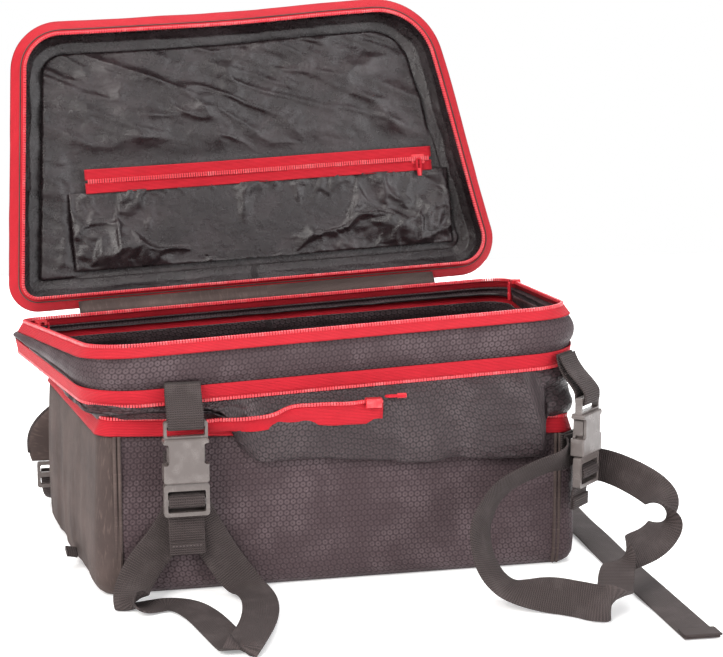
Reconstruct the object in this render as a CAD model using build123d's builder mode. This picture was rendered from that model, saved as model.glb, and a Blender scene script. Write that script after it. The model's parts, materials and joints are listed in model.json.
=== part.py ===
"""Ski boot bag: a soft, roughly square-cornered bag that stands on its base.

A padded base, an expansion bellows closed by its own zip, an upper band, and a
lid hinged along the back of the band.  Two webbing compression straps with
side-release buckles join the band to the base at the front.  The lid is modelled
standing open and the bellows let out.

Millimetres.  The origin is the centre of the underside, X runs along the front
from left to right, Y from front to back and Z up.
"""
from build123d import *
import os
from math import atan2, cos, degrees, radians, sin

os.makedirs("parts", exist_ok=True)

# ---------------------------------------------------------------- driving sizes
BASE_CORNERS = [(-176, -119), (178, -121), (198, 114), (-198, 114)]
BASE_RADII = [14, 16, 26, 26]
BASE_HEIGHT = 109
BASE_SLOPE = -0.045
UPPER_CORNERS = [(-180, -121), (180, -122), (206, 117), (-213, 117)]
UPPER_RADII = [50, 42, 30, 34]
LID_CORNERS = [(-184, -121), (173, -121), (204, 115), (-211, 115)]
LID_RADII = [58, 62, 34, 34]

WALL = 5.0
LINING = 1.0
BAND_BOTTOM_HEIGHT = 157.6
BAND_BOTTOM_SLOPES = (0.045, 0.03)
RIM_HEIGHT = 181.0
RIM_SLOPES = (0.05, -0.05)
LID_OPEN_ANGLE = 95
HINGE_LINE = 119
HINGE_RISE = 2.2
LID_DEPTH = 34

TAPE = 1.2
COIL = 2.4
COIL_HEIGHT = 2.2
LOWER_TAPE_HEIGHT = 10
UPPER_TAPE_HEIGHT = 11
RIM_TAPE_HEIGHT = 9

WEBBING = 25.4
WEBBING_THICKNESS = 1.5

BUCKLE_WIDTH = 32
BUCKLE_THICKNESS = 10.5
LEFT_BUCKLE = (-116, -135, 106)
RIGHT_BUCKLE = (182.5, -128.5, 108)
RIGHT_BUCKLE_TURN = 44

# ---------------------------------------------------------------- reference planes


def sloped(height, slopes, offset=0.0):
    """A plane that climbs by the two slopes along X and Y, moved along its normal."""
    along_x, along_y = slopes
    normal = Vector(-along_x, -along_y, 1).normalized()
    origin = Vector(0, 0, height) + normal * offset
    return Plane(origin=origin, x_dir=(1, 0, along_x), z_dir=normal)


def base_top(offset=0.0):
    return sloped(BASE_HEIGHT, (BASE_SLOPE, 0), offset)


def band_bottom(offset=0.0):
    return sloped(BAND_BOTTOM_HEIGHT, BAND_BOTTOM_SLOPES, offset)


def rim(offset=0.0):
    return sloped(RIM_HEIGHT, RIM_SLOPES, offset)


HINGE_POINT = rim(HINGE_RISE).from_local_coords(Vector(0, HINGE_LINE, 0))
HINGE_AXIS = Axis((0, 0, 0), rim().x_dir)


def lid_plane(offset=0.0):
    """The lid's rim plane, swung open about the hinge line, moved outwards."""
    normal = rim().z_dir.rotate(HINGE_AXIS, -LID_OPEN_ANGLE)
    up_the_lid = rim().y_dir.rotate(HINGE_AXIS, -LID_OPEN_ANGLE)
    origin = HINGE_POINT - up_the_lid * HINGE_LINE + normal * offset
    return Plane(origin=origin, x_dir=rim().x_dir, z_dir=normal)


# ---------------------------------------------------------------- helpers


def save(piece, name):
    """Label a finished piece and write it out under its own name."""
    piece.part.label = name
    export_step(piece.part, f"parts/{name}.step")


def inset_corners(corners, inset):
    """The corners of a convex four-sided outline with every side moved inwards."""
    moved = []
    count = len(corners)
    for index in range(count):
        before = Vector(*corners[index - 1])
        here = Vector(*corners[index])
        after = Vector(*corners[(index + 1) % count])
        into = (here - before).normalized()
        out = (after - here).normalized()
        sine = into.cross(out).Z
        moved.append(here + (out - into) * (inset / sine))
    return moved


def outline(plane, corners, radii, inset):
    """A rounded four-sided face on a plane."""
    rounded = [max(radius - inset, 2.0) for radius in radii]
    with BuildSketch(plane) as face:
        with BuildLine():
            FilletPolyline(*inset_corners(corners, inset), radius=rounded, close=True)
        make_face()
    return face.sketch


def wall(levels, thickness):
    """A closed ring of wall through (plane, corners, radii, inset) levels."""
    outer = [outline(*level) for level in levels]
    inner = [outline(*shape, inset + thickness) for *shape, inset in levels]
    with BuildPart() as ring:
        loft(outer, ruled=True)
        loft(inner, ruled=True, mode=Mode.SUBTRACT)
    return ring.part


def cut_out(solid, points, height=600):
    """The part of a solid that stands on a plan outline."""
    with BuildPart() as piece:
        with BuildSketch(Plane.XY.offset(-1)):
            Polygon(*points, align=None)
        extrude(amount=height)
        add(solid, mode=Mode.INTERSECT)
    return piece


def ribbon(stations, thickness=WEBBING_THICKNESS):
    """Flat webbing through (centre, half-width vector) stations, one ruled solid."""
    centres = [Vector(*centre) for centre, half in stations]
    last = len(stations) - 1
    with BuildPart() as strap:
        for index, (centre, half) in enumerate(stations):
            across = Vector(*half)
            ahead = centres[min(index + 1, last)] - centres[max(index - 1, 0)]
            along = ahead - across * (ahead.dot(across) / across.dot(across))
            with BuildSketch(Plane(origin=centre, x_dir=across, z_dir=along)):
                Rectangle(2 * across.length, thickness)
        loft(ruled=True)
    return strap


BASE = (BASE_CORNERS, BASE_RADII)
UPPER = (UPPER_CORNERS, UPPER_RADII)
LID = (LID_CORNERS, LID_RADII)

# ---------------------------------------------------------------- base

FLOOR_INSET = 10.3
FLOOR_THICKNESS = 2.5
BOARD_THICKNESS = 3.0
BASE_LEVELS = [(0, 5), (6, 1.5), (20, 0.5), (46, 0)]

base_levels = [(Plane.XY.offset(height), *BASE, inset) for height, inset in BASE_LEVELS]
base_levels.append((base_top(), *BASE, 1))
base_wall = wall(base_levels, WALL)

FRONT_SEAMS = (-162, 163)
BACK_SEAMS = (-172, 172)
FAR = 400
SEAM_DEPTHS = (-95, 85)
END_REACH = 140


def end_region(side):
    """Plan outline that takes one end wall with its two corners."""
    front_seam = FRONT_SEAMS[0] if side < 0 else FRONT_SEAMS[1]
    back_seam = BACK_SEAMS[0] if side < 0 else BACK_SEAMS[1]
    return [
        (side * FAR, -FAR),
        (front_seam, -FAR),
        (front_seam, SEAM_DEPTHS[0]),
        (side * END_REACH, SEAM_DEPTHS[0]),
        (side * END_REACH, SEAM_DEPTHS[1]),
        (back_seam, SEAM_DEPTHS[1]),
        (back_seam, FAR),
        (side * FAR, FAR),
    ]


def span_region(seams, near, far):
    """Plan outline that takes the straight wall between two seams."""
    return [(seams[0], near), (seams[1], near), (seams[1], far), (seams[0], far)]


base_regions = {
    "front_panel": span_region(FRONT_SEAMS, -FAR, SEAM_DEPTHS[0]),
    "back_panel": span_region(BACK_SEAMS, SEAM_DEPTHS[1], FAR),
    "end_panel_left": end_region(-1),
    "end_panel_right": end_region(1),
}
for panel_name, plan in base_regions.items():
    panel = cut_out(base_wall, plan)
    save(panel, panel_name)

with BuildPart() as floor_panel:
    extrude(outline(Plane.XY, *BASE, FLOOR_INSET), amount=FLOOR_THICKNESS)
save(floor_panel, "floor_panel")

with BuildPart() as base_board:
    extrude(outline(Plane.XY.offset(FLOOR_THICKNESS), *BASE, FLOOR_INSET), amount=BOARD_THICKNESS)
save(base_board, "base_board")

# The lining hangs just inside the padded walls and stops below their top edge.
LINER_GAP = 0.3
liner_levels = [
    (Plane.XY.offset(6.2), *BASE, 1.5 + WALL + LINER_GAP),
    (Plane.XY.offset(20), *BASE, 0.5 + WALL + LINER_GAP),
    (Plane.XY.offset(46), *BASE, WALL + LINER_GAP),
    (base_top(-1), *BASE, 1 + WALL + LINER_GAP),
]
with BuildPart() as base_liner:
    add(wall(liner_levels, LINING))
save(base_liner, "base_liner")

# Two cords of piping run up each front corner, on the seam between panels.
PIPING_RADIUS = 1.1
PIPING_STAND_OFF = 0.9
PIPING_SPACING = 3.2


PIPING_TUCKS = [(1.2, 4), (6, 1.5), (20, 0.5), (46, 0)]


def piping_cord(x, face_y):
    """One cord of piping up a corner, following the wall's tuck at the bottom."""
    with BuildPart() as cord:
        for height, tuck in PIPING_TUCKS + [(BASE_HEIGHT + BASE_SLOPE * x - 1, 0.8)]:
            with BuildSketch(Plane.XY.offset(height)):
                with Locations((x, face_y - PIPING_STAND_OFF - PIPING_RADIUS + tuck)):
                    Circle(PIPING_RADIUS)
        loft(ruled=True)
    return cord.part


for side, seam_x, face_y in (("left", FRONT_SEAMS[0], -119.1), ("right", FRONT_SEAMS[1], -120.9)):
    with BuildPart() as corner_piping:
        add(piping_cord(seam_x - PIPING_SPACING / 2, face_y))
        add(piping_cord(seam_x + PIPING_SPACING / 2, face_y))
    save(corner_piping, f"corner_piping_{side}")

# The lower half of the expansion zip stands along the top of the base.
lower_tape_levels = [(base_top(0.2), *BASE, 1.6), (base_top(LOWER_TAPE_HEIGHT), *BASE, 5.0)]
with BuildPart() as expansion_tape_lower:
    add(wall(lower_tape_levels, TAPE))
save(expansion_tape_lower, "expansion_tape_lower")

lower_coil_levels = [
    (base_top(LOWER_TAPE_HEIGHT), *BASE, 4.4),
    (base_top(LOWER_TAPE_HEIGHT + COIL_HEIGHT), *BASE, 4.4),
]
with BuildPart() as expansion_coil_lower:
    add(wall(lower_coil_levels, COIL))
save(expansion_coil_lower, "expansion_coil_lower")

# Its last stretch is left unsewn and stands clear of the bellows at the front.
ZIP_TAIL = [
    ((-100, -122.6, 120), (0, -0.6, 4.0)),
    ((-76, -124.5, 120), (0, -0.6, 4.4)),
    ((-54, -127, 122), (0, -0.8, 5.0)),
    ((-40, -128, 126), (0, -0.8, 6.5)),
    ((-20, -128.5, 126), (0, -0.8, 7.5)),
    ((4, -128.5, 125.5), (0, -0.8, 8.0)),
    ((27, -128, 125), (0, -0.8, 8.0)),
]
expansion_zip_tail = ribbon(ZIP_TAIL, TAPE)
save(expansion_zip_tail, "expansion_zip_tail")

# ---------------------------------------------------------------- bellows

bellows_levels = [
    (base_top(0.4), *BASE, 7.6),
    (base_top(LOWER_TAPE_HEIGHT + COIL_HEIGHT + 0.8), *BASE, 7.8),
    (band_bottom(-UPPER_TAPE_HEIGHT - COIL_HEIGHT - 0.8), *UPPER, 9.0),
    (band_bottom(-0.4), *UPPER, 6.0),
]
with BuildPart() as bellows:
    add(wall(bellows_levels, 2.0))
save(bellows, "bellows")

# ---------------------------------------------------------------- upper band

band_levels = [(band_bottom(), *UPPER, 0), (rim(-RIM_TAPE_HEIGHT - COIL_HEIGHT), *UPPER, 1)]
with BuildPart() as band:
    add(wall(band_levels, WALL - 1))
save(band, "band")

band_liner_levels = [
    (band_bottom(0.5), *UPPER, WALL + LINER_GAP),
    (rim(-RIM_TAPE_HEIGHT - COIL_HEIGHT - 0.5), *UPPER, WALL + LINER_GAP + 0.6),
]
with BuildPart() as band_liner:
    add(wall(band_liner_levels, LINING))
save(band_liner, "band_liner")

upper_tape_levels = [(band_bottom(-UPPER_TAPE_HEIGHT), *UPPER, 2.6), (band_bottom(-0.2), *UPPER, 1.6)]
with BuildPart() as expansion_tape_upper:
    add(wall(upper_tape_levels, TAPE))
save(expansion_tape_upper, "expansion_tape_upper")

upper_coil_levels = [
    (band_bottom(-UPPER_TAPE_HEIGHT - COIL_HEIGHT), *UPPER, 2.0),
    (band_bottom(-UPPER_TAPE_HEIGHT), *UPPER, 2.0),
]
with BuildPart() as expansion_coil_upper:
    add(wall(upper_coil_levels, COIL))
save(expansion_coil_upper, "expansion_coil_upper")

rim_tape_levels = [
    (rim(-RIM_TAPE_HEIGHT - COIL_HEIGHT + 0.2), *UPPER, 1.6),
    (rim(-COIL_HEIGHT), *UPPER, 6.2),
]
with BuildPart() as rim_tape:
    add(wall(rim_tape_levels, TAPE))
save(rim_tape, "rim_tape")

RIM_COIL_INSET = 5.6
rim_coil_levels = [
    (rim(-COIL_HEIGHT), *UPPER, RIM_COIL_INSET),
    (rim(), *UPPER, RIM_COIL_INSET),
]
with BuildPart() as rim_coil:
    add(wall(rim_coil_levels, COIL))
save(rim_coil, "rim_coil")

# ---------------------------------------------------------------- lid

LID_SKIN = 4.0
LID_SHOULDER = 22
LID_TUCKS = (1, 6, 24)
LID_LIFT = RIM_TAPE_HEIGHT

lid_outside = [
    outline(lid_plane(LID_LIFT), *LID, LID_TUCKS[0]),
    outline(lid_plane(LID_SHOULDER), *LID, LID_TUCKS[1]),
    outline(lid_plane(LID_DEPTH), *LID, LID_TUCKS[2]),
]
lid_inside = [
    outline(lid_plane(LID_LIFT), *LID, LID_TUCKS[0] + LID_SKIN),
    outline(lid_plane(LID_SHOULDER - 1), *LID, LID_TUCKS[1] + LID_SKIN),
    outline(lid_plane(LID_DEPTH - LID_SKIN), *LID, LID_TUCKS[2] + 1),
]
with BuildPart() as lid_shell:
    loft(lid_outside, ruled=True)
    loft(lid_inside, ruled=True, mode=Mode.SUBTRACT)
save(lid_shell, "lid_shell")

# Shiny lining over the inside of the lid's panel.
lining_face = lid_plane(LID_DEPTH - LID_SKIN - LINER_GAP - LINING)
with BuildPart() as lid_lining:
    extrude(outline(lining_face, *LID, LID_TUCKS[2] + 3), amount=LINING)
save(lid_lining, "lid_lining")

lid_tape_levels = [
    (lid_plane(COIL_HEIGHT), *LID, 6.0),
    (lid_plane(LID_LIFT - 0.2), *LID, 1.8),
]
with BuildPart() as lid_rim_tape:
    add(wall(lid_tape_levels, TAPE))
save(lid_rim_tape, "lid_rim_tape")

lid_coil_levels = [(lid_plane(0.4), *LID, 5.6), (lid_plane(COIL_HEIGHT), *LID, 5.6)]
with BuildPart() as lid_rim_coil:
    add(wall(lid_coil_levels, COIL))
save(lid_rim_coil, "lid_rim_coil")

# The lid's inner pocket: a zip across the lining and a loose panel below it.
# On the lid plane Y runs down from the free edge to the hinge.
POCKET_ZIP_Y = 14
POCKET_ZIP_ENDS = (-150, 150)
POCKET_BOTTOM_Y = 88
POCKET_TAPE_WIDTH = 9.0
POCKET_TAPE_GAP = 2.6
POCKET_TAPE_LIFT = LID_DEPTH - LID_SKIN - LINER_GAP - LINING - 1.5
pocket_middle = sum(POCKET_ZIP_ENDS) / 2
pocket_length = POCKET_ZIP_ENDS[1] - POCKET_ZIP_ENDS[0]

for tape_name, side in (("pocket_tape_upper", -1), ("pocket_tape_lower", 1)):
    with BuildPart() as pocket_tape:
        with BuildSketch(lid_plane(POCKET_TAPE_LIFT)):
            centre_y = POCKET_ZIP_Y + side * (POCKET_TAPE_GAP + POCKET_TAPE_WIDTH) / 2
            with Locations((pocket_middle, centre_y)):
                Rectangle(pocket_length, POCKET_TAPE_WIDTH)
        extrude(amount=TAPE)
    save(pocket_tape, tape_name)

with BuildPart() as pocket_panel:
    top_y = POCKET_ZIP_Y + POCKET_TAPE_GAP / 2 + POCKET_TAPE_WIDTH + 0.4
    with BuildSketch(lid_plane(POCKET_TAPE_LIFT - 2.5)):
        with Locations((pocket_middle, (top_y + POCKET_BOTTOM_Y) / 2)):
            RectangleRounded(pocket_length + 28, POCKET_BOTTOM_Y - top_y, 8)
    extrude(amount=3.5)
save(pocket_panel, "pocket_panel")

# A folded strip of fabric joins the lid to the back of the band along the hinge.
HINGE_STRIP_ENDS = (-172, 166)
with BuildPart() as hinge_strip:
    with BuildSketch(rim(-COIL_HEIGHT - 4)):
        with Locations((sum(HINGE_STRIP_ENDS) / 2, HINGE_LINE - 0.6)):
            Rectangle(HINGE_STRIP_ENDS[1] - HINGE_STRIP_ENDS[0], 1.4)
    extrude(amount=7.5)
save(hinge_strip, "hinge_strip")

# ---------------------------------------------------------------- buckles

# Each buckle is drawn facing outwards: sketch X across the strap, sketch Y up it.
BUCKLE_FRAMES = {
    "left": Plane(origin=LEFT_BUCKLE, x_dir=(1, 0, 0), z_dir=(0, -1, 0)),
    "right": Plane(
        origin=RIGHT_BUCKLE,
        x_dir=(cos(radians(RIGHT_BUCKLE_TURN)), sin(radians(RIGHT_BUCKLE_TURN)), 0),
        z_dir=(sin(radians(RIGHT_BUCKLE_TURN)), -cos(radians(RIGHT_BUCKLE_TURN)), 0),
    ),
}
FEMALE_MOUTH = -22
FEMALE_SHOULDER = 10
FEMALE_TOP = 22
SOCKET_WIDTH = 27
SOCKET_THICKNESS = 6.4
SOCKET_END = 6.5
SLOT_WIDTH = 26.6
LADDER_END = -45.5
LADDER_THICKNESS = 6.0
PLAY = 0.35


def female_half(frame):
    """Socket with side windows and a bar for the sewn loop."""
    with BuildPart() as female:
        with BuildSketch(frame.offset(-BUCKLE_THICKNESS / 2)):
            with Locations((0, (FEMALE_MOUTH + FEMALE_SHOULDER) / 2)):
                RectangleRounded(BUCKLE_WIDTH, FEMALE_SHOULDER - FEMALE_MOUTH, 2.4)
        extrude(amount=BUCKLE_THICKNESS)
        fillet(female.faces().sort_by(Axis(frame.origin, frame.z_dir))[-1].edges(), 1.4)
        with BuildSketch(frame.offset(-2.6)):
            with Locations((0, (FEMALE_SHOULDER + FEMALE_TOP) / 2 - 1)):
                RectangleRounded(BUCKLE_WIDTH - 1.4, FEMALE_TOP - FEMALE_SHOULDER + 2, 2.0)
        extrude(amount=5.2)
        with BuildSketch(frame.offset(-BUCKLE_THICKNESS)):
            with Locations((0, 15)):
                RectangleRounded(SLOT_WIDTH, 7.2, 1.2)
        extrude(amount=2 * BUCKLE_THICKNESS, mode=Mode.SUBTRACT)
        with BuildSketch(frame.offset(-SOCKET_THICKNESS / 2)):
            with Locations((0, (FEMALE_MOUTH + SOCKET_END) / 2 - 1)):
                Rectangle(SOCKET_WIDTH, SOCKET_END - FEMALE_MOUTH + 2)
        extrude(amount=SOCKET_THICKNESS, mode=Mode.SUBTRACT)
        with BuildSketch(frame.offset(-BUCKLE_THICKNESS)):
            for side in (-1, 1):
                with Locations((side * BUCKLE_WIDTH / 2, -1)):
                    RectangleRounded(7.6, 15, 2.2)
        extrude(amount=2 * BUCKLE_THICKNESS, mode=Mode.SUBTRACT)
    return female


def male_half(frame):
    """Ladder with two slots, a guide tongue and two spring arms."""
    with BuildPart() as male:
        with BuildSketch(frame.offset(-LADDER_THICKNESS / 2)):
            with Locations((0, (LADDER_END + FEMALE_MOUTH - PLAY) / 2)):
                RectangleRounded(BUCKLE_WIDTH, FEMALE_MOUTH - PLAY - LADDER_END, 2.2)
        extrude(amount=LADDER_THICKNESS)
        with BuildSketch(frame.offset(-BUCKLE_THICKNESS)):
            with Locations((0, -30.3), (0, -39.7)):
                RectangleRounded(SLOT_WIDTH, 6.0, 1.2)
        extrude(amount=2 * BUCKLE_THICKNESS, mode=Mode.SUBTRACT)
        prong_thickness = SOCKET_THICKNESS - 2 * PLAY
        with BuildSketch(frame.offset(-prong_thickness / 2)):
            with Locations((0, (FEMALE_MOUTH + 1) / 2 - 1)):
                Rectangle(4.4, 1 - FEMALE_MOUTH + 2)
            for side in (-1, 1):
                with Locations((side * 9.6, (FEMALE_MOUTH - 6) / 2 - 1)):
                    Rectangle(2.6, -6 - FEMALE_MOUTH + 2)
                with Locations((side * 10.6, -1)):
                    RectangleRounded(5.0, 13, 2.0)
        extrude(amount=prong_thickness)
    return male


for side, frame in BUCKLE_FRAMES.items():
    buckle_female = female_half(frame)
    save(buckle_female, f"buckle_female_{side}")
    buckle_male = male_half(frame)
    save(buckle_male, f"buckle_male_{side}")

# ---------------------------------------------------------------- compression straps


def in_buckle(frame, out, up):
    """A point out from a buckle's middle and up from it."""
    return frame.origin + frame.z_dir * out + frame.y_dir * up


def buckle_webbing(frame, route):
    """Webbing as wide as the strap along (out, up) points in a buckle's frame."""
    half = frame.x_dir * (WEBBING / 2)
    return ribbon([(in_buckle(frame, out, up), half) for out, up in route])


# Sewn to the foot of the band, round the socket's bar and back.
BAR_WRAP = [
    (-4.4, 27),
    (-3.9, 21),
    (-3.6, 17.9),
    (-2.2, 16.2),
    (2.2, 16.2),
    (3.6, 17.9),
    (3.9, 21),
    (3.4, 27),
]
SEWN_OUT = {"left": -12.3, "right": -19.4}
SEWN_UP = {"left": 47, "right": 52}
for side, frame in BUCKLE_FRAMES.items():
    out = SEWN_OUT[side]
    up = SEWN_UP[side]
    route = [(out, up), (out + 0.6, up - 10)] + BAR_WRAP + [(out + 5.2, up - 9), (out + 2.2, up - 0.5)]
    strap_top_loop = buckle_webbing(frame, route)
    save(strap_top_loop, f"strap_top_loop_{side}")

# Through the ladder and down to a folded, stitched end.
TAIL_ROUTES = {
    "left": [(-4.2, -46.8), (-2.4, -52), (-0.9, -60), (-0.9, -73.5)],
    "right": [(-4.3, -46.8), (-5.0, -50), (-5.6, -53), (-5.6, -63)],
}
LADDER_ROUTE = [
    (-4.3, -24),
    (-4.3, -26.5),
    (-3.6, -29.6),
    (2.6, -31.4),
    (4.0, -33.2),
    (4.0, -36.8),
    (2.6, -38.6),
    (-3.6, -40.4),
    (-4.3, -43.4),
]
for side, frame in BUCKLE_FRAMES.items():
    strap_tail = buckle_webbing(frame, LADDER_ROUTE + TAIL_ROUTES[side])
    save(strap_tail, f"strap_tail_{side}")

    hem_out, hem_up = TAIL_ROUTES[side][-1]
    strap_hem = buckle_webbing(frame, [(hem_out + 1.7, hem_up + 9), (hem_out + 1.7, hem_up + 0.2)])
    save(strap_hem, f"strap_hem_{side}")

# The long spare loops, from the anchor on the base to the back of the ladder.
STRAP_LOOP_LEFT = [
    ((-116, -122.6, 100), (12.7, 0, 0)),
    ((-116, -122.9, 76), (12.7, 0, 0)),
    ((-120, -123.6, 58), (12.4, 0, -2.5)),
    ((-131, -124.4, 41), (11, 0, -6.2)),
    ((-145, -127.5, 26), (9.6, -1.5, -7.6)),
    ((-155, -138, 13), (9.4, -6.5, -5)),
    ((-158.5, -151, 6), (9.6, -11.5, -1)),
    ((-155, -157, 2.8), (8.6, -14, 0)),
    ((-143, -150, 1.3), (4, -14, 0)),
    ((-132, -147, 1.6), (-4, -12.5, 0)),
    ((-120, -156, 2), (-9, -9.5, 0)),
    ((-112, -178, 1.8), (-11.5, -6, 0)),
    ((-107, -208, 1.5), (-12.4, -3, 0)),
    ((-103, -236, 1.7), (-12.5, -1, 0)),
    ((-101, -253, 2.6), (-12.2, 3, 0)),
    ((-99, -256, 4.6), (-12, 4, 0)),
    ((-92, -243, 6.6), (-11.5, 6, 0)),
    ((-80, -212, 6), (-11.5, 5.6, 0)),
    ((-72, -180, 5.5), (-12, 4, 0)),
    ((-70, -154, 6), (-12.6, 1, 0)),
    ((-77, -136, 9), (-12.4, 0, -2)),
    ((-88, -129.6, 23), (-11.2, 0, -6)),
    ((-100, -128.6, 44), (-11.6, 0, -5)),
    ((-110, -128.2, 63), (-12.4, 0, -2.6)),
    ((-115.5, -128.6, 80), (-12.7, 0, 0)),
]
strap_loop_left = ribbon(STRAP_LOOP_LEFT)
save(strap_loop_left, "strap_loop_left")

STRAP_LOOP_RIGHT = [
    ((174.2, -119.9, 100), (9.1, 8.8, 0)),
    ((174.2, -120.2, 92), (9.1, 8.8, 0)),
    ((170, -127, 87), (7.5, 8.4, -5)),
    ((160, -135.5, 84), (5, 9, -7)),
    ((146, -138, 81), (5.2, 8.8, -7.4)),
    ((129, -141, 76), (5.6, 9, -7)),
    ((113, -146, 70), (6.4, 9, -6.2)),
    ((101, -154, 62), (7.8, 8.8, -4.8)),
    ((92, -162, 51), (8.9, 8.2, -3.9)),
    ((87, -171, 41), (9.7, 7.9, -2.2)),
    ((87, -181, 28), (9.3, 8.6, 0)),
    ((90, -192, 18), (9.4, 8.5, 0.6)),
    ((97, -202, 11.5), (8.6, 9, 2.4)),
    ((107, -210, 10.5), (5.5, 9.6, 6.2)),
    ((120, -220, 11.5), (2.2, 7, 10.2)),
    ((134, -238, 12.8), (0, 3, 12.2)),
    ((146, -250, 12.4), (3, 4, 11.4)),
    ((156, -250, 12), (9, 4, 8)),
    ((162, -241, 13), (12, -1, 4.2)),
    ((167, -228, 17), (12.4, -1.6, 1.6)),
    ((174, -213, 24), (12, -2, 3.4)),
    ((183, -203, 29.5), (9.6, 3, 7.8)),
    ((194, -198, 31.5), (4.6, 7, 9.6)),
    ((207, -192, 33), (2.4, 8.6, 9.2)),
    ((219, -184, 37), (1.6, 9.6, 8.2)),
    ((228, -176, 44), (3, 10.4, 6.6)),
    ((230, -168, 54), (5, 11, 3.6)),
    ((228, -152, 61), (5.6, 6, 9)),
    ((220, -131, 66), (3, 3, 11.9)),
    ((209, -113, 70), (1, 1, 12.6)),
    ((200.5, -104, 71), (0, 0, 12.7)),
    ((193, -103.5, 72), (0, 0, 12.7)),
    ((186.5, -109.5, 72), (0, 0, 12.7)),
    ((180.6, -115, 72), (0, 0, 12.7)),
]
strap_loop_right = ribbon(STRAP_LOOP_RIGHT)
save(strap_loop_right, "strap_loop_right")

# A patch of webbing backs the sewn foot of each spare loop.
ANCHOR_PATCHES = {
    "left": [((-116, -120.6, 104), (14, 0, 0)), ((-116, -120.9, 88), (14, 0, 0))],
    "right": [((172.6, -118.3, 101), (9.1, 8.8, 0)), ((172.6, -118.4, 88), (9.1, 8.8, 0))],
}
for side, patch in ANCHOR_PATCHES.items():
    strap_anchor = ribbon(patch, 1.2)
    save(strap_anchor, f"strap_anchor_{side}")

# ---------------------------------------------------------------- zip sliders and pulls

SLIDER_LENGTH = 12
SLIDER_WIDTH = 8
SLIDER_TOP = 1.4
SLIDER_FOOT = -1.9
COIL_PLAY = 0.4
SIDE_V = 72


def side_track(side, v):
    """Local point on the rim's coil along one side, and the coil's turn from straight back."""
    corners = inset_corners(UPPER_CORNERS, RIM_COIL_INSET + COIL / 2)
    front, back = (corners[0], corners[3]) if side == "left" else (corners[1], corners[2])
    along = (back - front).normalized()
    turn = degrees(atan2(-along.X, along.Y))
    return front + along * ((v - front.Y) / along.Y), turn


for side in ("left", "right"):
    spot, angle = side_track(side, SIDE_V)
    with BuildPart() as lid_slider:
        with BuildSketch(rim(SLIDER_FOOT)):
            with Locations(Location((spot.X, spot.Y, 0), (0, 0, angle))):
                RectangleRounded(SLIDER_WIDTH, SLIDER_LENGTH, 1.5)
        extrude(amount=SLIDER_TOP - SLIDER_FOOT)
        with BuildSketch(rim(SLIDER_FOOT - 1)):
            with Locations(Location((spot.X, spot.Y, 0), (0, 0, angle))):
                Rectangle(COIL + 2 * COIL_PLAY, SLIDER_LENGTH + 4)
        extrude(amount=1 - SLIDER_FOOT + COIL_PLAY, mode=Mode.SUBTRACT)
    save(lid_slider, f"lid_slider_{side}")

# The slider of the bellows zip, parked at the loose end of its lower half.
TAIL_TOP = (-128.5, 133.4)
EXPANSION_SLIDER_X = 20
with BuildPart() as expansion_slider:
    with BuildSketch(Plane.XY.offset(TAIL_TOP[1] - 4)):
        with Locations((EXPANSION_SLIDER_X, TAIL_TOP[0] - 0.4)):
            RectangleRounded(SLIDER_LENGTH, 6.4, 1.5)
    extrude(amount=6.5)
    with BuildSketch(Plane.XY.offset(TAIL_TOP[1] - 5)):
        with Locations((EXPANSION_SLIDER_X, TAIL_TOP[0] - 0.4)):
            Rectangle(SLIDER_LENGTH + 4, 3.4)
    extrude(amount=6.1, mode=Mode.SUBTRACT)
save(expansion_slider, "expansion_slider")

# The pocket's slider sits astride both tapes at the right-hand end.
POCKET_SLIDER_X = 138
with BuildPart() as pocket_slider:
    with BuildSketch(lid_plane(POCKET_TAPE_LIFT - 3.4)):
        with Locations((POCKET_SLIDER_X, POCKET_ZIP_Y)):
            RectangleRounded(SLIDER_LENGTH, SLIDER_WIDTH, 1.5)
    extrude(amount=3.1)
save(pocket_slider, "pocket_slider")

# Cord pulls, each a small closed loop that turns on its slider.
PULL_CORD = 1.0
PULL_LENGTH = 16
PULL_WIDTH = 6


def cord_pull(start, along, across):
    """A flat loop of thin cord that starts at a slider and hangs along one way."""
    start = Vector(*start)
    face = Plane(origin=start, x_dir=across, z_dir=Vector(*along).cross(Vector(*across)))
    reach = face.to_local_coords(start + Vector(*along)).Y
    with BuildPart() as pull:
        with BuildSketch(face.offset(-PULL_CORD)):
            with Locations((0, reach * PULL_LENGTH / 2)):
                SlotOverall(PULL_LENGTH, PULL_WIDTH, rotation=90)
                SlotOverall(
                    PULL_LENGTH - 4 * PULL_CORD, PULL_WIDTH - 4 * PULL_CORD, rotation=90, mode=Mode.SUBTRACT
                )
        extrude(amount=2 * PULL_CORD)
    return pull


EXPANSION_PULL_START = (EXPANSION_SLIDER_X + 8.2, TAIL_TOP[0] - 0.6, TAIL_TOP[1] + 3.4)
expansion_pull = cord_pull(EXPANSION_PULL_START, (1, 0, 0), (0, 1, 0))
save(expansion_pull, "expansion_pull")

pocket_pull_plane = lid_plane(POCKET_TAPE_LIFT - 5.4)
pocket_pull_start = pocket_pull_plane.from_local_coords(Vector(POCKET_SLIDER_X, POCKET_ZIP_Y - 1, 0))
pocket_pull = cord_pull(pocket_pull_start, lid_plane().y_dir, lid_plane().x_dir)
save(pocket_pull, "pocket_pull")

for side, inward in (("left", 1), ("right", -1)):
    spot, angle = side_track(side, SIDE_V)
    start = rim(-0.4).from_local_coords(Vector(spot.X + inward * 5.4, spot.Y, 0))
    lid_pull = cord_pull(start, -rim().z_dir, rim().y_dir)
    save(lid_pull, f"lid_pull_{side}")

# ---------------------------------------------------------------- carrying harness and handles

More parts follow.
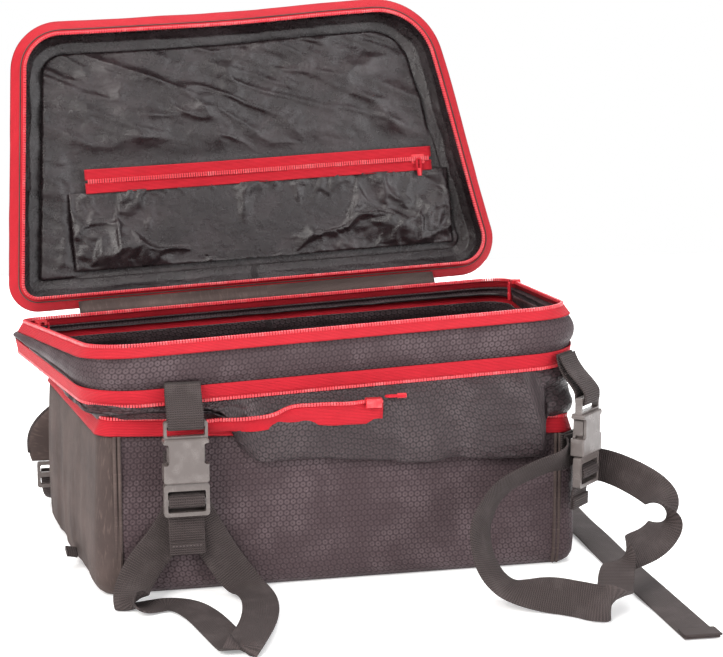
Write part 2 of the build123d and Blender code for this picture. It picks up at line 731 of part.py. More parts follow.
PAD_FRONT = 114.6
PAD_THICKNESS = 8
with BuildPart() as back_pad:
    with BuildSketch(Plane(origin=(0, PAD_FRONT, 46), x_dir=(-1, 0, 0), z_dir=(0, 1, 0))):
        RectangleRounded(250, 72, 16)
    extrude(amount=PAD_THICKNESS)
    fillet(back_pad.faces().sort_by(Axis.Y)[-1].edges(), 3)
save(back_pad, "back_pad")

SHOULDER_THICKNESS = 8
SHOULDER_STRAPS = {
    "left": [
        ((-46, 128, 80), (0, 0, 16)),
        ((-98, 128.4, 86), (-1, 0, 20)),
        ((-142, 128.6, 84), (-7, 0, 22)),
        ((-176, 128.4, 72), (-17, 0, 17)),
        ((-190, 128.2, 56), (-24, 0, 5)),
        ((-187, 128, 42), (-20, 0, 0)),
    ],
    "right": [
        ((46, 128, 80), (0, 0, 16)),
        ((92, 128.4, 84), (1, 0, 20)),
        ((132, 128.6, 82), (7, 0, 21)),
        ((160, 128.4, 70), (17, 0, 16)),
        ((172, 128.2, 56), (23, 0, 5)),
        ((172, 128, 42), (20, 0, 0)),
    ],
}
for side, stations in SHOULDER_STRAPS.items():
    shoulder_strap = ribbon(stations, SHOULDER_THICKNESS)
    save(shoulder_strap, f"shoulder_strap_{side}")

# Three-bar adjusters under the ends of the shoulder straps.
ADJUSTER_X = {"left": -187, "right": 172}
ADJUSTER_Y = 128
for side, adjuster_x in ADJUSTER_X.items():
    adjuster_frame = Plane(origin=(adjuster_x, ADJUSTER_Y - 1.8, 0), x_dir=(-1, 0, 0), z_dir=(0, 1, 0))
    with BuildPart() as adjuster:
        with BuildSketch(adjuster_frame):
            with Locations((0, 30.2)):
                RectangleRounded(32, 22, 2.2)
            with Locations((0, 25.2), (0, 35.2)):
                RectangleRounded(26.6, 6, 1.2, mode=Mode.SUBTRACT)
        extrude(amount=3.6)
    save(adjuster, f"adjuster_{side}")

# Webbing from each adjuster: short on the left, long and loose on the right.
HARNESS_TAIL_LEFT = [
    ((-187, 133, 34), (12.7, 0, 0)),
    ((-187, 136, 20), (12.7, 0, 0)),
    ((-184, 143, 8), (12.6, -1, 0)),
    ((-176, 153, 2), (11, -6.3, 0)),
    ((-164, 166, 1.2), (9, -9, 0)),
    ((-148, 180, 1.2), (7, -10.6, 0)),
    ((-128, 190, 1.2), (4, -12, 0)),
    ((-104, 190, 1.2), (-2, -12.5, 0)),
    ((-82, 180, 1.2), (-6, -11.2, 0)),
    ((-62, 166, 1.2), (-7.5, -10.2, 0)),
]
harness_tail_left = ribbon(HARNESS_TAIL_LEFT)
save(harness_tail_left, "harness_tail_left")

HARNESS_TAIL_RIGHT = [
    ((172, 133, 34), (-12.7, 0, 0)),
    ((173, 137, 20), (-12.7, 0, 0)),
    ((178, 145, 9), (-10.5, 7, 0)),
    ((190, 150, 3), (-3, 12.3, 0)),
    ((206, 146, 1.4), (6, 11.2, 0)),
    ((221, 128, 1.2), (11.2, 6, 0)),
    ((228, 98, 1.2), (12.6, 1.5, 0)),
    ((227, 62, 1.2), (12.6, 1, 0)),
    ((223, 20, 1.2), (12.7, 0.6, 0)),
    ((218, -20, 1.6), (12.7, 1, 0)),
    ((215, -62, 2.2), (12.7, 1, 0)),
    ((212, -100, 1.4), (12.7, 1, 0)),
    ((208, -148, 1.2), (12.7, 1, 0)),
    ((205, -200, 1.2), (12.7, 1, 0)),
    ((202, -250, 1.2), (12.7, 1, 0)),
    ((199, -300, 1.2), (12.7, 1, 0)),
]
harness_tail_right = ribbon(HARNESS_TAIL_RIGHT)
save(harness_tail_right, "harness_tail_right")

harness_hem = ribbon([((199.7, -288, 3), (12.7, 1, 0)), ((199, -300, 3), (12.7, 1, 0))])
save(harness_hem, "harness_hem")

# A webbing grab handle droops on the right end.
GRAB_HANDLE = [
    ((182.4, -84, 62), (0, 0, 12.7)),
    ((189, -78, 60), (0, 0, 12.7)),
    ((200, -64, 50), (1, 0, 12.6)),
    ((206, -44, 40), (2, 0, 12.5)),
    ((208, -12, 34), (2, 0, 12.5)),
    ((208.5, 18, 36), (2, 0, 12.5)),
    ((205, 44, 46), (1, 0, 12.6)),
    ((199.5, 58, 58), (0, 0, 12.7)),
    ((194.8, 64, 62), (0, 0, 12.7)),
]
grab_handle = ribbon(GRAB_HANDLE)
save(grab_handle, "grab_handle")

# A short lash tab sewn into the bottom seam of the left end.
LASH_TAB = [
    ((-185.4, -40, 11), (0, 10, 0)),
    ((-189, -40, 12), (0, 10, 0)),
    ((-193, -40, 12.5), (0, 10, 0)),
]
lash_tab = ribbon(LASH_TAB, 2.8)
save(lash_tab, "lash_tab")

# The haul loop at the top of the back.
HAUL_LOOP = [
    ((-30, 116.0, 100), (0, 0, 8)),
    ((-27, 121, 98), (0, 0, 8)),
    ((-16, 130, 94), (0, 1, 8)),
    ((0, 133, 92), (0, 1.4, 8)),
    ((16, 130, 94), (0, 1, 8)),
    ((27, 121, 98), (0, 0, 8)),
    ((30, 116.0, 100), (0, 0, 8)),
]
haul_loop = ribbon(HAUL_LOOP)
save(haul_loop, "haul_loop")
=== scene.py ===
"""Looks of the ski boot bag: fabric shells, zips, webbing, buckles, light and camera.

Sizes here are in millimetres and turned into metres where a mesh is made.
"""
import json
import math
import bpy
import numpy as np
from mathutils import Matrix, Vector, noise


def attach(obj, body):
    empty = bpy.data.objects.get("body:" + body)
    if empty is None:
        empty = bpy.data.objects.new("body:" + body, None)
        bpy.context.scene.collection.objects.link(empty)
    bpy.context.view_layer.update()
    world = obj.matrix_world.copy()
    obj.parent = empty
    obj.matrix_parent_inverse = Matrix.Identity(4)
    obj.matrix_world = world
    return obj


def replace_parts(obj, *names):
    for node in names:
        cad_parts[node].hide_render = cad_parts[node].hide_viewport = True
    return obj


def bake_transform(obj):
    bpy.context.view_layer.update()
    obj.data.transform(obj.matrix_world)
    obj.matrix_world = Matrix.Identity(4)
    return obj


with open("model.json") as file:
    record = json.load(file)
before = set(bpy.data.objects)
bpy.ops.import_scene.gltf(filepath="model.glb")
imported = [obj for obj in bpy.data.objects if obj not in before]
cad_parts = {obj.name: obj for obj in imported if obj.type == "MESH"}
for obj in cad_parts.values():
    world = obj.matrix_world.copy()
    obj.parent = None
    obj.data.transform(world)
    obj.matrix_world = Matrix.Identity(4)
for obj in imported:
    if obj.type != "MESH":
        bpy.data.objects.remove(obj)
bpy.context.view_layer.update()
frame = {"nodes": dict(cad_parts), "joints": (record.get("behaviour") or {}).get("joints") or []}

MM = 0.001

# ---------------------------------------------------------------- driving sizes, as in the CAD

BASE = ([(-176, -119), (178, -121), (198, 114), (-198, 114)], [14, 16, 26, 26])
UPPER = ([(-180, -121), (180, -122), (206, 117), (-222, 117)], [50, 42, 30, 18])
LID = ([(-197, -114), (150, -120), (200, 115), (-219, 115)], [40, 56, 30, 20])
FRONT_SEAMS = (-162, 163)
BACK_SEAMS = (-172, 172)
HINGE_LINE = 119
HINGE_RISE = 2.2
LID_OPEN_ANGLE = 95
ZIP_HALF = 9
COIL = 2.4
COIL_HEIGHT = 2.2
WEBBING = 25.4
WEBBING_THICKNESS = 1.5


def unit(v):
    v = np.asarray(v, float)
    return v / np.linalg.norm(v)


class Plane:
    """A flat frame: origin, two directions in it and its normal."""

    def __init__(self, origin, x_dir, normal):
        self.origin = np.asarray(origin, float)
        self.normal = unit(normal)
        x_dir = np.asarray(x_dir, float)
        self.x = unit(x_dir - self.normal * x_dir.dot(self.normal))
        self.y = np.cross(self.normal, self.x)

    def moved(self, offset):
        return Plane(self.origin + self.normal * offset, self.x, self.normal)

    def point(self, u, v, w=0.0):
        u, v, w = (np.asarray(c, float)[..., None] for c in (u, v, w))
        return self.origin + self.x * u + self.y * v + self.normal * w


def sloped(height, along_x, along_y):
    return Plane((0, 0, height), (1, 0, along_x), (-along_x, -along_y, 1))


FLOOR = sloped(0, 0, 0)
BASE_TOP = sloped(109, -0.045, 0)
BAND_BOTTOM = sloped(157.6, 0.045, 0.03)
RIM = sloped(181, 0.05, -0.05)
hinge_turn = Matrix.Rotation(-math.radians(LID_OPEN_ANGLE), 3, Vector(RIM.x))
lid_normal = np.array(hinge_turn @ Vector(RIM.normal))
hinge_point = RIM.point(0, HINGE_LINE, HINGE_RISE)
lid_up = np.cross(lid_normal, RIM.x)
LID_PLANE = Plane(hinge_point - lid_up * HINGE_LINE, RIM.x, lid_normal)

# ---------------------------------------------------------------- camera, light and floor

CAMERA_AT = (-284, -1313, 391)
CAMERA_TARGET = (121.6, 314.3, 110)
CAMERA_LENS = 87.2


def look_at(thing, place, target):
    thing.location = Vector(place) * MM
    thing.rotation_euler = (Vector(target) - Vector(place)).to_track_quat("-Z", "Y").to_euler()


scene = bpy.context.scene
camera_data = bpy.data.cameras.new("camera")
camera_data.lens = CAMERA_LENS
camera_data.sensor_width = 36
camera = bpy.data.objects.new("camera", camera_data)
scene.collection.objects.link(camera)
look_at(camera, CAMERA_AT, CAMERA_TARGET)
scene.camera = camera


def soft_light(name, place, target, size, power, colour=(1, 1, 1)):
    data = bpy.data.lights.new(name, "AREA")
    data.shape = "RECTANGLE"
    data.size, data.size_y = size
    data.energy = power
    data.color = colour
    lamp = bpy.data.objects.new(name, data)
    scene.collection.objects.link(lamp)
    look_at(lamp, place, target)


soft_light("key_light", (-1500, -1500, 1500), (0, 0, 120), (1.3, 1.3), 62, (1, 0.98, 0.95))
soft_light("fill_light", (1500, -1500, 800), (0, 0, 120), (1.6, 1.4), 30, (0.97, 0.98, 1))
soft_light("top_light", (0, 300, 2200), (0, 0, 100), (2.0, 1.6), 46)
soft_light("back_light", (500, 1900, 1300), (0, 100, 150), (1.8, 1.2), 34)
world = bpy.data.worlds.new("studio")
world.use_nodes = True
world.node_tree.nodes["Background"].inputs["Color"].default_value = (1, 1, 1, 1)
rays = world.node_tree.nodes.new("ShaderNodeLightPath")
strength = world.node_tree.nodes.new("ShaderNodeMath")
strength.operation = "MULTIPLY_ADD"
strength.inputs[1].default_value = 0.5
strength.inputs[2].default_value = 0.5
world.node_tree.links.new(rays.outputs["Is Camera Ray"], strength.inputs[0])
world.node_tree.links.new(strength.outputs[0], world.node_tree.nodes["Background"].inputs["Strength"])
scene.world = world
scene.view_settings.view_transform = "Standard"

# ---------------------------------------------------------------- materials


class Nodes:
    """A small builder for node materials."""

    def __init__(self, name, colour, roughness=0.7, sheen=0.0, coat=0.0, metallic=0.0, specular=0.5):
        self.material = bpy.data.materials.new(name)
        self.material.use_nodes = True
        self.tree = self.material.node_tree
        self.shader = self.tree.nodes["Principled BSDF"]
        self.shader.inputs["Base Color"].default_value = (*colour, 1)
        self.shader.inputs["Roughness"].default_value = roughness
        self.shader.inputs["Sheen Weight"].default_value = sheen
        self.shader.inputs["Sheen Roughness"].default_value = 0.5
        self.shader.inputs["Coat Weight"].default_value = coat
        self.shader.inputs["Coat Roughness"].default_value = 0.25
        self.shader.inputs["Metallic"].default_value = metallic
        self.shader.inputs["Specular IOR Level"].default_value = specular
        self.height = None

    def add(self, kind, **settings):
        node = self.tree.nodes.new(kind)
        for key, value in settings.items():
            setattr(node, key, value)
        return node

    def feed(self, socket, value):
        if isinstance(value, bpy.types.NodeSocket):
            self.tree.links.new(value, socket)
        else:
            socket.default_value = value

    def math(self, operation, first, second=0.0, clamp=False):
        node = self.add("ShaderNodeMath", operation=operation, use_clamp=clamp)
        self.feed(node.inputs[0], first)
        self.feed(node.inputs[1], second)
        return node.outputs[0]

    def uv(self):
        """Along and across, in metres of cloth."""
        node = self.add("ShaderNodeUVMap", uv_map="cloth")
        parts = self.add("ShaderNodeSeparateXYZ")
        self.feed(parts.inputs[0], node.outputs[0])
        return node.outputs[0], parts.outputs[0], parts.outputs[1]

    def place(self):
        return self.add("ShaderNodeTexCoord").outputs["Object"]

    def noise(self, vector, scale, detail=4.0, roughness=0.55, stretch=None):
        if stretch:
            mapping = self.add("ShaderNodeMapping")
            self.feed(mapping.inputs["Vector"], vector)
            mapping.inputs["Scale"].default_value = stretch
            vector = mapping.outputs[0]
        node = self.add("ShaderNodeTexNoise")
        self.feed(node.inputs["Vector"], vector)
        node.inputs["Scale"].default_value = scale
        node.inputs["Detail"].default_value = detail
        node.inputs["Roughness"].default_value = roughness
        return node.outputs[0]

    def wave(self, coordinate, pitch, phase=0.0):
        """A cosine along one coordinate, with its pitch in metres."""
        turned = self.math("ADD", self.math("MULTIPLY", coordinate, 2 * math.pi / pitch), phase)
        return self.math("COSINE", turned)

    def ramp(self, value, low, high, low_out=0.0, high_out=1.0):
        node = self.add("ShaderNodeMapRange", interpolation_type="SMOOTHSTEP")
        self.feed(node.inputs["Value"], value)
        for index, number in enumerate((low, high, low_out, high_out)):
            node.inputs[index + 1].default_value = number
        return node.outputs["Result"]

    def mix(self, factor, first, second):
        node = self.add("ShaderNodeMix", data_type="RGBA")
        self.feed(node.inputs["Factor"], factor)
        for socket, value in ((node.inputs["A"], first), (node.inputs["B"], second)):
            for candidate in node.inputs:
                if candidate.name == socket.name and candidate.type == "RGBA":
                    self.feed(candidate, value if isinstance(value, bpy.types.NodeSocket) else (*value, 1))
        return [output for output in node.outputs if output.type == "RGBA"][0]

    def colour(self, value):
        self.feed(self.shader.inputs["Base Color"], value)

    def roughness(self, value):
        self.feed(self.shader.inputs["Roughness"], value)

    def bump(self, height, distance, strength=1.0):
        node = self.add("ShaderNodeBump")
        node.inputs["Strength"].default_value = strength
        node.inputs["Distance"].default_value = distance
        self.feed(node.inputs["Height"], height)
        if self.height is not None:
            self.feed(node.inputs["Normal"], self.height)
        self.height = node.outputs[0]
        self.feed(self.shader.inputs["Normal"], self.height)


def weave(nodes, along, across, pitch, depth):
    """Plain weave: two crossing sets of threads."""
    warp = nodes.wave(along, pitch)
    weft = nodes.wave(across, pitch)
    nodes.bump(nodes.math("MULTIPLY", warp, weft), depth, 0.5)


CELL = 0.0046


def embossed(name, base, line, glint, roughness, specular):
    """Polyester pressed with a honeycomb of small cells."""
    nodes = Nodes(name, base, roughness, sheen=0.02, specular=specular)
    vector, along, across = nodes.uv()
    total = None
    for angle in (90, 30, -30):
        a = math.radians(angle)
        shares = nodes.math("MULTIPLY", along, math.cos(a)), nodes.math("MULTIPLY", across, math.sin(a))
        part = nodes.math("ADD", *shares)
        ripple = nodes.wave(part, CELL * math.sqrt(3) / 2)
        total = ripple if total is None else nodes.math("ADD", total, ripple)
    cell = nodes.ramp(total, -1.35, -0.35)
    dot = nodes.ramp(total, 2.3, 2.75)
    cloudy = nodes.noise(vector, 26, 5)
    speckle = nodes.noise(vector, 900, 2)
    # painted highlight: cloudy patches are mixed towards the lighter glint colour, and small speckles at 2.2
    # times that colour are brighter still
    wear_and_glint = nodes.ramp(cloudy, 0.42, 0.68)
    body = nodes.mix(wear_and_glint, base, glint)
    body = nodes.mix(nodes.ramp(speckle, 0.6, 0.75, 0, 0.5), body, tuple(c * 2.2 for c in glint))
    body = nodes.mix(dot, body, line)
    nodes.colour(nodes.mix(cell, line, body))
    nodes.roughness(nodes.ramp(cloudy, 0.3, 0.7, roughness + 0.08, roughness - 0.12))
    nodes.bump(nodes.math("SUBTRACT", cell, dot), 0.0005, 0.75)
    weave(nodes, along, across, 0.0009, 0.00012)
    return nodes.material


def plain_cloth(name, base, dark, roughness=0.82):
    nodes = Nodes(name, base, roughness, sheen=0.03, specular=0.15)
    vector, along, across = nodes.uv()
    cloudy = nodes.noise(vector, 18, 5)
    threads = nodes.noise(vector, 700, 2, stretch=(1, 0.15, 1))
    body = nodes.mix(nodes.ramp(cloudy, 0.35, 0.7), dark, base)
    body = nodes.mix(nodes.ramp(threads, 0.5, 0.8, 0, 0.45), body, tuple(c * 1.7 for c in base))
    nodes.colour(body)
    nodes.bump(threads, 0.00025, 0.5)
    weave(nodes, along, across, 0.0008, 0.00015)
    return nodes.material


def nylon(name, base, shine, roughness):
    """Thin coated lining: dark, creased and glossy."""
    nodes = Nodes(name, base, roughness, specular=0.5, coat=0.05)
    vector, along, across = nodes.uv()
    creases = nodes.noise(vector, 22, 8, 0.62, stretch=(1, 1.7, 1))
    fine = nodes.noise(vector, 110, 6, 0.6)
    nodes.colour(nodes.mix(nodes.ramp(creases, 0.4, 0.72), base, shine))
    nodes.roughness(nodes.ramp(fine, 0.35, 0.7, roughness + 0.1, roughness - 0.08))
    nodes.bump(creases, 0.004, 0.55)
    nodes.bump(fine, 0.0006, 0.5)
    weave(nodes, along, across, 0.0006, 0.00006)
    return nodes.material


def zip_tape(name, base, dark):
    nodes = Nodes(name, base, 0.6, sheen=0.02, specular=0.2)
    vector, along, across = nodes.uv()
    ribs = nodes.wave(across, 0.0011)
    cloudy = nodes.noise(vector, 60, 4)
    body = nodes.mix(nodes.ramp(ribs, -1, -0.1), dark, base)
    nodes.colour(nodes.mix(nodes.ramp(cloudy, 0.3, 0.75, 0.0, 0.35), body, dark))
    nodes.bump(ribs, 0.00025, 0.6)
    nodes.bump(nodes.wave(along, 0.0009), 0.00015, 0.5)
    return nodes.material


def strap_cloth(name, base, light):
    """Ribbed webbing, its ribs across the strap."""
    nodes = Nodes(name, base, 0.72, sheen=0.02, specular=0.2)
    vector, along, across = nodes.uv()
    ribs = nodes.wave(along, 0.0016)
    zigzag = nodes.math("PINGPONG", across, 0.0032)
    twill = nodes.wave(nodes.math("ADD", along, zigzag), 0.0016)
    cloudy = nodes.noise(vector, 50, 4)
    body = nodes.mix(nodes.ramp(ribs, -0.8, 0.7), tuple(c * 0.5 for c in base), base)
    body = nodes.mix(nodes.ramp(twill, 0.1, 1.0, 0, 0.3), body, light)
    nodes.colour(nodes.mix(nodes.ramp(cloudy, 0.45, 0.75, 0, 0.4), body, light))
    nodes.bump(ribs, 0.0004, 0.7)
    nodes.bump(twill, 0.0002, 0.5)
    return nodes.material


def moulded(name, base, wear_and_glint, roughness, metallic=0.0, wear=0.3):
    """Moulded or painted hard parts with fine grain and rubbed spots."""
    nodes = Nodes(name, base, roughness, specular=0.55, metallic=metallic)
    vector = nodes.place()
    rubbed = nodes.noise(vector, 130, 5, 0.6)
    fine = nodes.noise(vector, 900, 3)
    scratch = nodes.noise(vector, 260, 4, 0.7, stretch=(1, 1, 0.08))
    body = nodes.mix(nodes.ramp(rubbed, 0.45, 0.75, 0, wear), base, wear_and_glint)
    nodes.colour(nodes.mix(nodes.ramp(scratch, 0.62, 0.7, 0, wear), body, wear_and_glint))
    nodes.roughness(nodes.ramp(rubbed, 0.3, 0.7, roughness + 0.06, roughness - 0.06))
    nodes.bump(fine, 0.0001, 0.4)
    return nodes.material


EMBOSSED = embossed(
    "embossed_polyester", (0.056, 0.036, 0.04), (0.032, 0.019, 0.022), (0.094, 0.066, 0.072), 0.6, 0.22,
)
BELLOWS_CLOTH = embossed(
    "bellows_polyester", (0.036, 0.022, 0.025), (0.013, 0.008, 0.009), (0.066, 0.046, 0.05), 0.42, 0.34,
)
PLAIN = plain_cloth("plain_polyester", (0.092, 0.066, 0.06), (0.056, 0.04, 0.037))
LINING = nylon("lining_nylon", (0.014, 0.009, 0.01), (0.028, 0.02, 0.021), 0.36)
SHINY = nylon("lid_nylon", (0.013, 0.0085, 0.0095), (0.03, 0.021, 0.023), 0.24)
TAPE_RED = zip_tape("red_zip_tape", (0.54, 0.013, 0.026), (0.3, 0.005, 0.012))
COIL_RED = moulded("red_zip_coil", (0.62, 0.035, 0.05), (0.8, 0.3, 0.3), 0.34)
STRAP = strap_cloth("webbing", (0.05, 0.037, 0.036), (0.1, 0.08, 0.078))
PLASTIC = moulded("buckle_plastic", (0.1, 0.082, 0.077), (0.24, 0.21, 0.2), 0.32)
RED_METAL = moulded("red_slider", (0.6, 0.02, 0.03), (0.75, 0.3, 0.3), 0.3, 0.3)
RED_CORD = plain_cloth("red_cord", (0.7, 0.02, 0.04), (0.4, 0.01, 0.02), 0.6)
THREAD = plain_cloth("thread", (0.14, 0.115, 0.115), (0.1, 0.08, 0.08), 0.6)
BOARD = moulded("base_board", (0.03, 0.03, 0.03), (0.06, 0.06, 0.06), 0.6)

# ---------------------------------------------------------------- meshes


def mesh_piece(name, points, faces, material, body, uvs=None, smooth=True):
    """A mesh from points in millimetres, riding on a body."""
    data = bpy.data.meshes.new(name)
    data.from_pydata((np.asarray(points).reshape(-1, 3) * MM).tolist(), [], faces)
    layer = data.uv_layers.new(name="cloth")
    if uvs is not None:
        loops = np.zeros(len(data.loops), int)
        data.loops.foreach_get("vertex_index", loops)
        layer.data.foreach_set("uv", (np.asarray(uvs).reshape(-1, 2)[loops] * MM).ravel())
    data.materials.append(material)
    data.polygons.foreach_set("use_smooth", [smooth] * len(data.polygons))
    data.update()
    piece = bpy.data.objects.new(name, data)
    scene.collection.objects.link(piece)
    if body:
        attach(piece, body)
    return piece


def grid_faces(rows, columns, wrap_rows=False, wrap_columns=False, start=0):
    """Quads of a grid of points stored row by row."""
    faces = []
    for r in range(rows if wrap_rows else rows - 1):
        for c in range(columns if wrap_columns else columns - 1):
            right = (c + 1) % columns
            up = (r + 1) % rows
            faces.append((
                start + r * columns + c,
                start + r * columns + right,
                start + up * columns + right,
                start + up * columns + c,
            ))
    return faces


def field(points, size, seed=0.0, octaves=2):
    """Smooth noise of about -1 to 1 at each point; size is the lump size in millimetres."""
    flat = np.asarray(points, float).reshape(-1, 3) / size
    shift = Vector((seed * 17.3, seed * 5.1, seed * 9.7))
    values = [noise.fractal(Vector(p) + shift, 0.7, 2.0, octaves) for p in flat]
    return np.array(values).reshape(np.asarray(points).shape[:-1])


def creases(points, size, seed=0.0):
    """Narrow ridges between flatter stretches, 0 to 1."""
    return np.clip(1 - 2.2 * np.abs(field(points, size, seed)), 0, 1) ** 2


ARC_STEPS = 18
SIDE_STEPS = 70
FRONT_STEPS = 130
BACK_STEPS = 64


def outline(shape, inset):
    """Points, outward normals and lengths round a rounded outline, anticlockwise from mid-back."""
    corners = [np.array(c, float) for c in shape[0]]
    moved = []
    for index in range(4):
        into = unit(corners[index] - corners[index - 1])
        out = unit(corners[(index + 1) % 4] - corners[index])
        sine = into[0] * out[1] - into[1] * out[0]
        moved.append(corners[index] + (out - into) * (inset / sine))
    arcs = []
    for index in (3, 0, 1, 2):
        into = unit(moved[index] - moved[index - 1])
        out = unit(moved[(index + 1) % 4] - moved[index])
        radius = max(shape[1][index] - inset, 2.0)
        half = math.acos(np.clip(into.dot(out), -1, 1)) / 2
        centre = moved[index] + (out - into) * radius / math.sin(2 * half)
        begin = math.atan2(-into[0], into[1])
        angles = begin + np.linspace(0, 2 * half, ARC_STEPS + 1)
        normal = np.stack([np.cos(angles), np.sin(angles)], 1)
        arcs.append((centre + normal * radius, normal))
    middle = (arcs[3][0][-1] + arcs[0][0][0]) / 2
    chain = [(middle[None], arcs[0][1][:1])]

    def straight(end, steps, normal):
        start = chain[-1][0][-1]
        t = np.linspace(0, 1, steps + 1)[1:-1, None]
        chain.append((start + (end - start) * t, np.repeat(normal[None], steps - 1, 0)))

    steps = (BACK_STEPS // 2, SIDE_STEPS, FRONT_STEPS, SIDE_STEPS)
    for (arc, normal), count in zip(arcs, steps):
        straight(arc[0], count, normal[0])
        chain.append((arc, normal))
    straight(middle, BACK_STEPS // 2, arcs[0][1][0])
    points = np.concatenate([part[0] for part in chain])
    normals = np.concatenate([part[1] for part in chain])
    gaps = np.linalg.norm(np.roll(points, -1, 0) - points, axis=1)
    return points, normals, np.concatenate([[0], np.cumsum(gaps)[:-1]])


def ring_row(plane, shape, inset):
    """One row of points round an outline on a plane, with its outward normals and lengths."""
    flat, normal, length = outline(shape, inset)
    points = plane.point(flat[:, 0], flat[:, 1])
    return points, plane.x * normal[:, :1] + plane.y * normal[:, 1:], length


def through(levels, steps):
    """Rows that pass through a list of (plane, shape, inset) levels, steps between each pair."""
    keys = [ring_row(*level) for level in levels]
    rows = []
    for low, high in zip(keys, keys[1:]):
        for t in np.linspace(0, 1, steps + 1)[:-1]:
            rows.append([a + (b - a) * t for a, b in zip(low, high)])
    rows.append(keys[-1])
    return [np.array([row[i] for row in rows]) for i in range(3)]


def run_along(line):
    """Running length at each point of a line."""
    return np.concatenate([[0], np.cumsum(np.linalg.norm(np.diff(line, axis=0), axis=1))])


def unit_rows(rows):
    return rows / np.linalg.norm(rows, axis=1)[:, None]


def spaced(points, ups, run, where):
    """Centres, ups, directions ahead and sideways at places along a line."""
    centre = np.stack([np.interp(where, run, points[:, i]) for i in range(3)], 1)
    up = np.stack([np.interp(where, run, np.asarray(ups)[:, i]) for i in range(3)], 1)
    ahead = unit_rows(np.gradient(centre, axis=0))
    return centre, up, ahead, unit_rows(np.cross(ahead, up))


def tube_faces(rows, count):
    """Faces of a closed tube of rings with both ends capped."""
    faces = grid_faces(rows, count, wrap_columns=True)
    return [*faces, list(range(count))[::-1], [(rows - 1) * count + i for i in range(count)]]


def rim_order(rows, columns):
    """Indices round the border of a grid."""
    rim = list(range(columns)) + [r * columns + columns - 1 for r in range(1, rows)]
    rim += [(rows - 1) * columns + c for c in range(columns - 2, -1, -1)]
    return rim + [r * columns for r in range(rows - 2, 0, -1)]


def levels_at(plane, shape, *pairs):
    """A level, as (plane, shape, inset), for each pair of offset and inset."""
    return [(plane.moved(offset), shape, inset) for offset, inset in pairs]


def seam_profile(t, power=6.0, least=0.12):
    """Thickness share across a sewn panel: full in the middle, pinched at both seams."""
    return least + (1 - least) * (1 - np.abs(2 * t - 1) ** power)


def wall_piece(name, levels, steps, thickness, material, body, columns=None, shape_out=None, pinch=6.0):
    """A padded wall: rows through the levels, moved outwards by shape_out, closed behind by its thickness."""
    points, normals, lengths = through(levels, steps)
    if columns is not None:
        points, normals, lengths = points[:, columns], normals[:, columns], lengths[:, columns]
    rows, count = points.shape[:2]
    t = np.linspace(0, 1, rows)[:, None]
    share = seam_profile(t, pinch) * np.ones((1, count))
    if columns is not None:
        share = share * seam_profile(np.linspace(0, 1, count), 24.0, 0.25)[None]
    out = shape_out(points, t, share) if shape_out is not None else 0.0
    outer = points + normals * (np.asarray(out) * np.ones((rows, count)))[..., None]
    inner = outer - normals * (thickness * share)[..., None]
    heights = np.cumsum(np.linalg.norm(np.diff(outer, axis=0, prepend=outer[:1]), axis=2), 0)
    uv = np.stack([lengths, heights], 2)
    loop = np.concatenate([outer, inner[::-1]])
    uvs = np.concatenate([uv, uv[::-1] + (0, 3)])
    faces = grid_faces(2 * rows, count, wrap_rows=True, wrap_columns=columns is None)
    faces = [face[::-1] for face in faces]
    if columns is not None:
        faces.append([r * count for r in range(2 * rows)])
        faces.append([r * count + count - 1 for r in range(2 * rows)][::-1])
    return mesh_piece(name, loop, faces, material, body, uvs)


def teeth(name, points, ups, material, body, pitch=2.0, length=2.8):
    """A row of zip teeth along a closed or open line, lying across ups and the line."""
    points = np.asarray(points)
    run = run_along(points)
    count = int(run[-1] / pitch)
    where = (np.arange(count) + 0.5) * run[-1] / count
    centre, up, ahead, side = spaced(points, ups, run, where)
    up = unit_rows(up)
    ring = [(-0.5, -0.35), (-0.5, 0.35), (-0.28, 0.5), (0.28, 0.5)]
    ring += [(-u, -v) for u, v in ring]
    vertices = []
    for shift in (-0.36 * pitch, 0.36 * pitch):
        for u, v in ring:
            lean = 0.18 * pitch * u
            vertices.append(centre + ahead * (shift + lean) + up * (v * length) + side * (u * COIL))
    vertices = np.stack(vertices, 1)
    faces = []
    for index in range(count):
        k = index * 16
        faces.append([k + i for i in range(8)][::-1])
        faces.append([k + 8 + i for i in range(8)])
        faces += [(k + i, k + (i + 1) % 8, k + 8 + (i + 1) % 8, k + 8 + i) for i in range(8)]
    uvs = np.zeros((count * 16, 2))
    return mesh_piece(name, vertices, faces, material, body, uvs, smooth=False)


def zip_half(name, levels, coil_level, nodes, body):
    """One half of a zip round the bag: its tape and its row of teeth."""
    tape_node, coil_node = nodes

    def wavy(points, t, share):
        return 0.25 * field(points, 30, 3)

    tape = wall_piece(f"{name}_tape_cloth", levels, 5, 1.0, TAPE_RED, body, None, wavy, 10)
    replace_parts(tape, tape_node)
    points, _, _ = ring_row(*coil_level)
    closed = np.concatenate([points, points[:1]])
    up = np.repeat(unit(coil_level[0].normal)[None], len(closed), 0)
    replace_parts(teeth(f"{name}_teeth", closed, up, COIL_RED, body), coil_node)


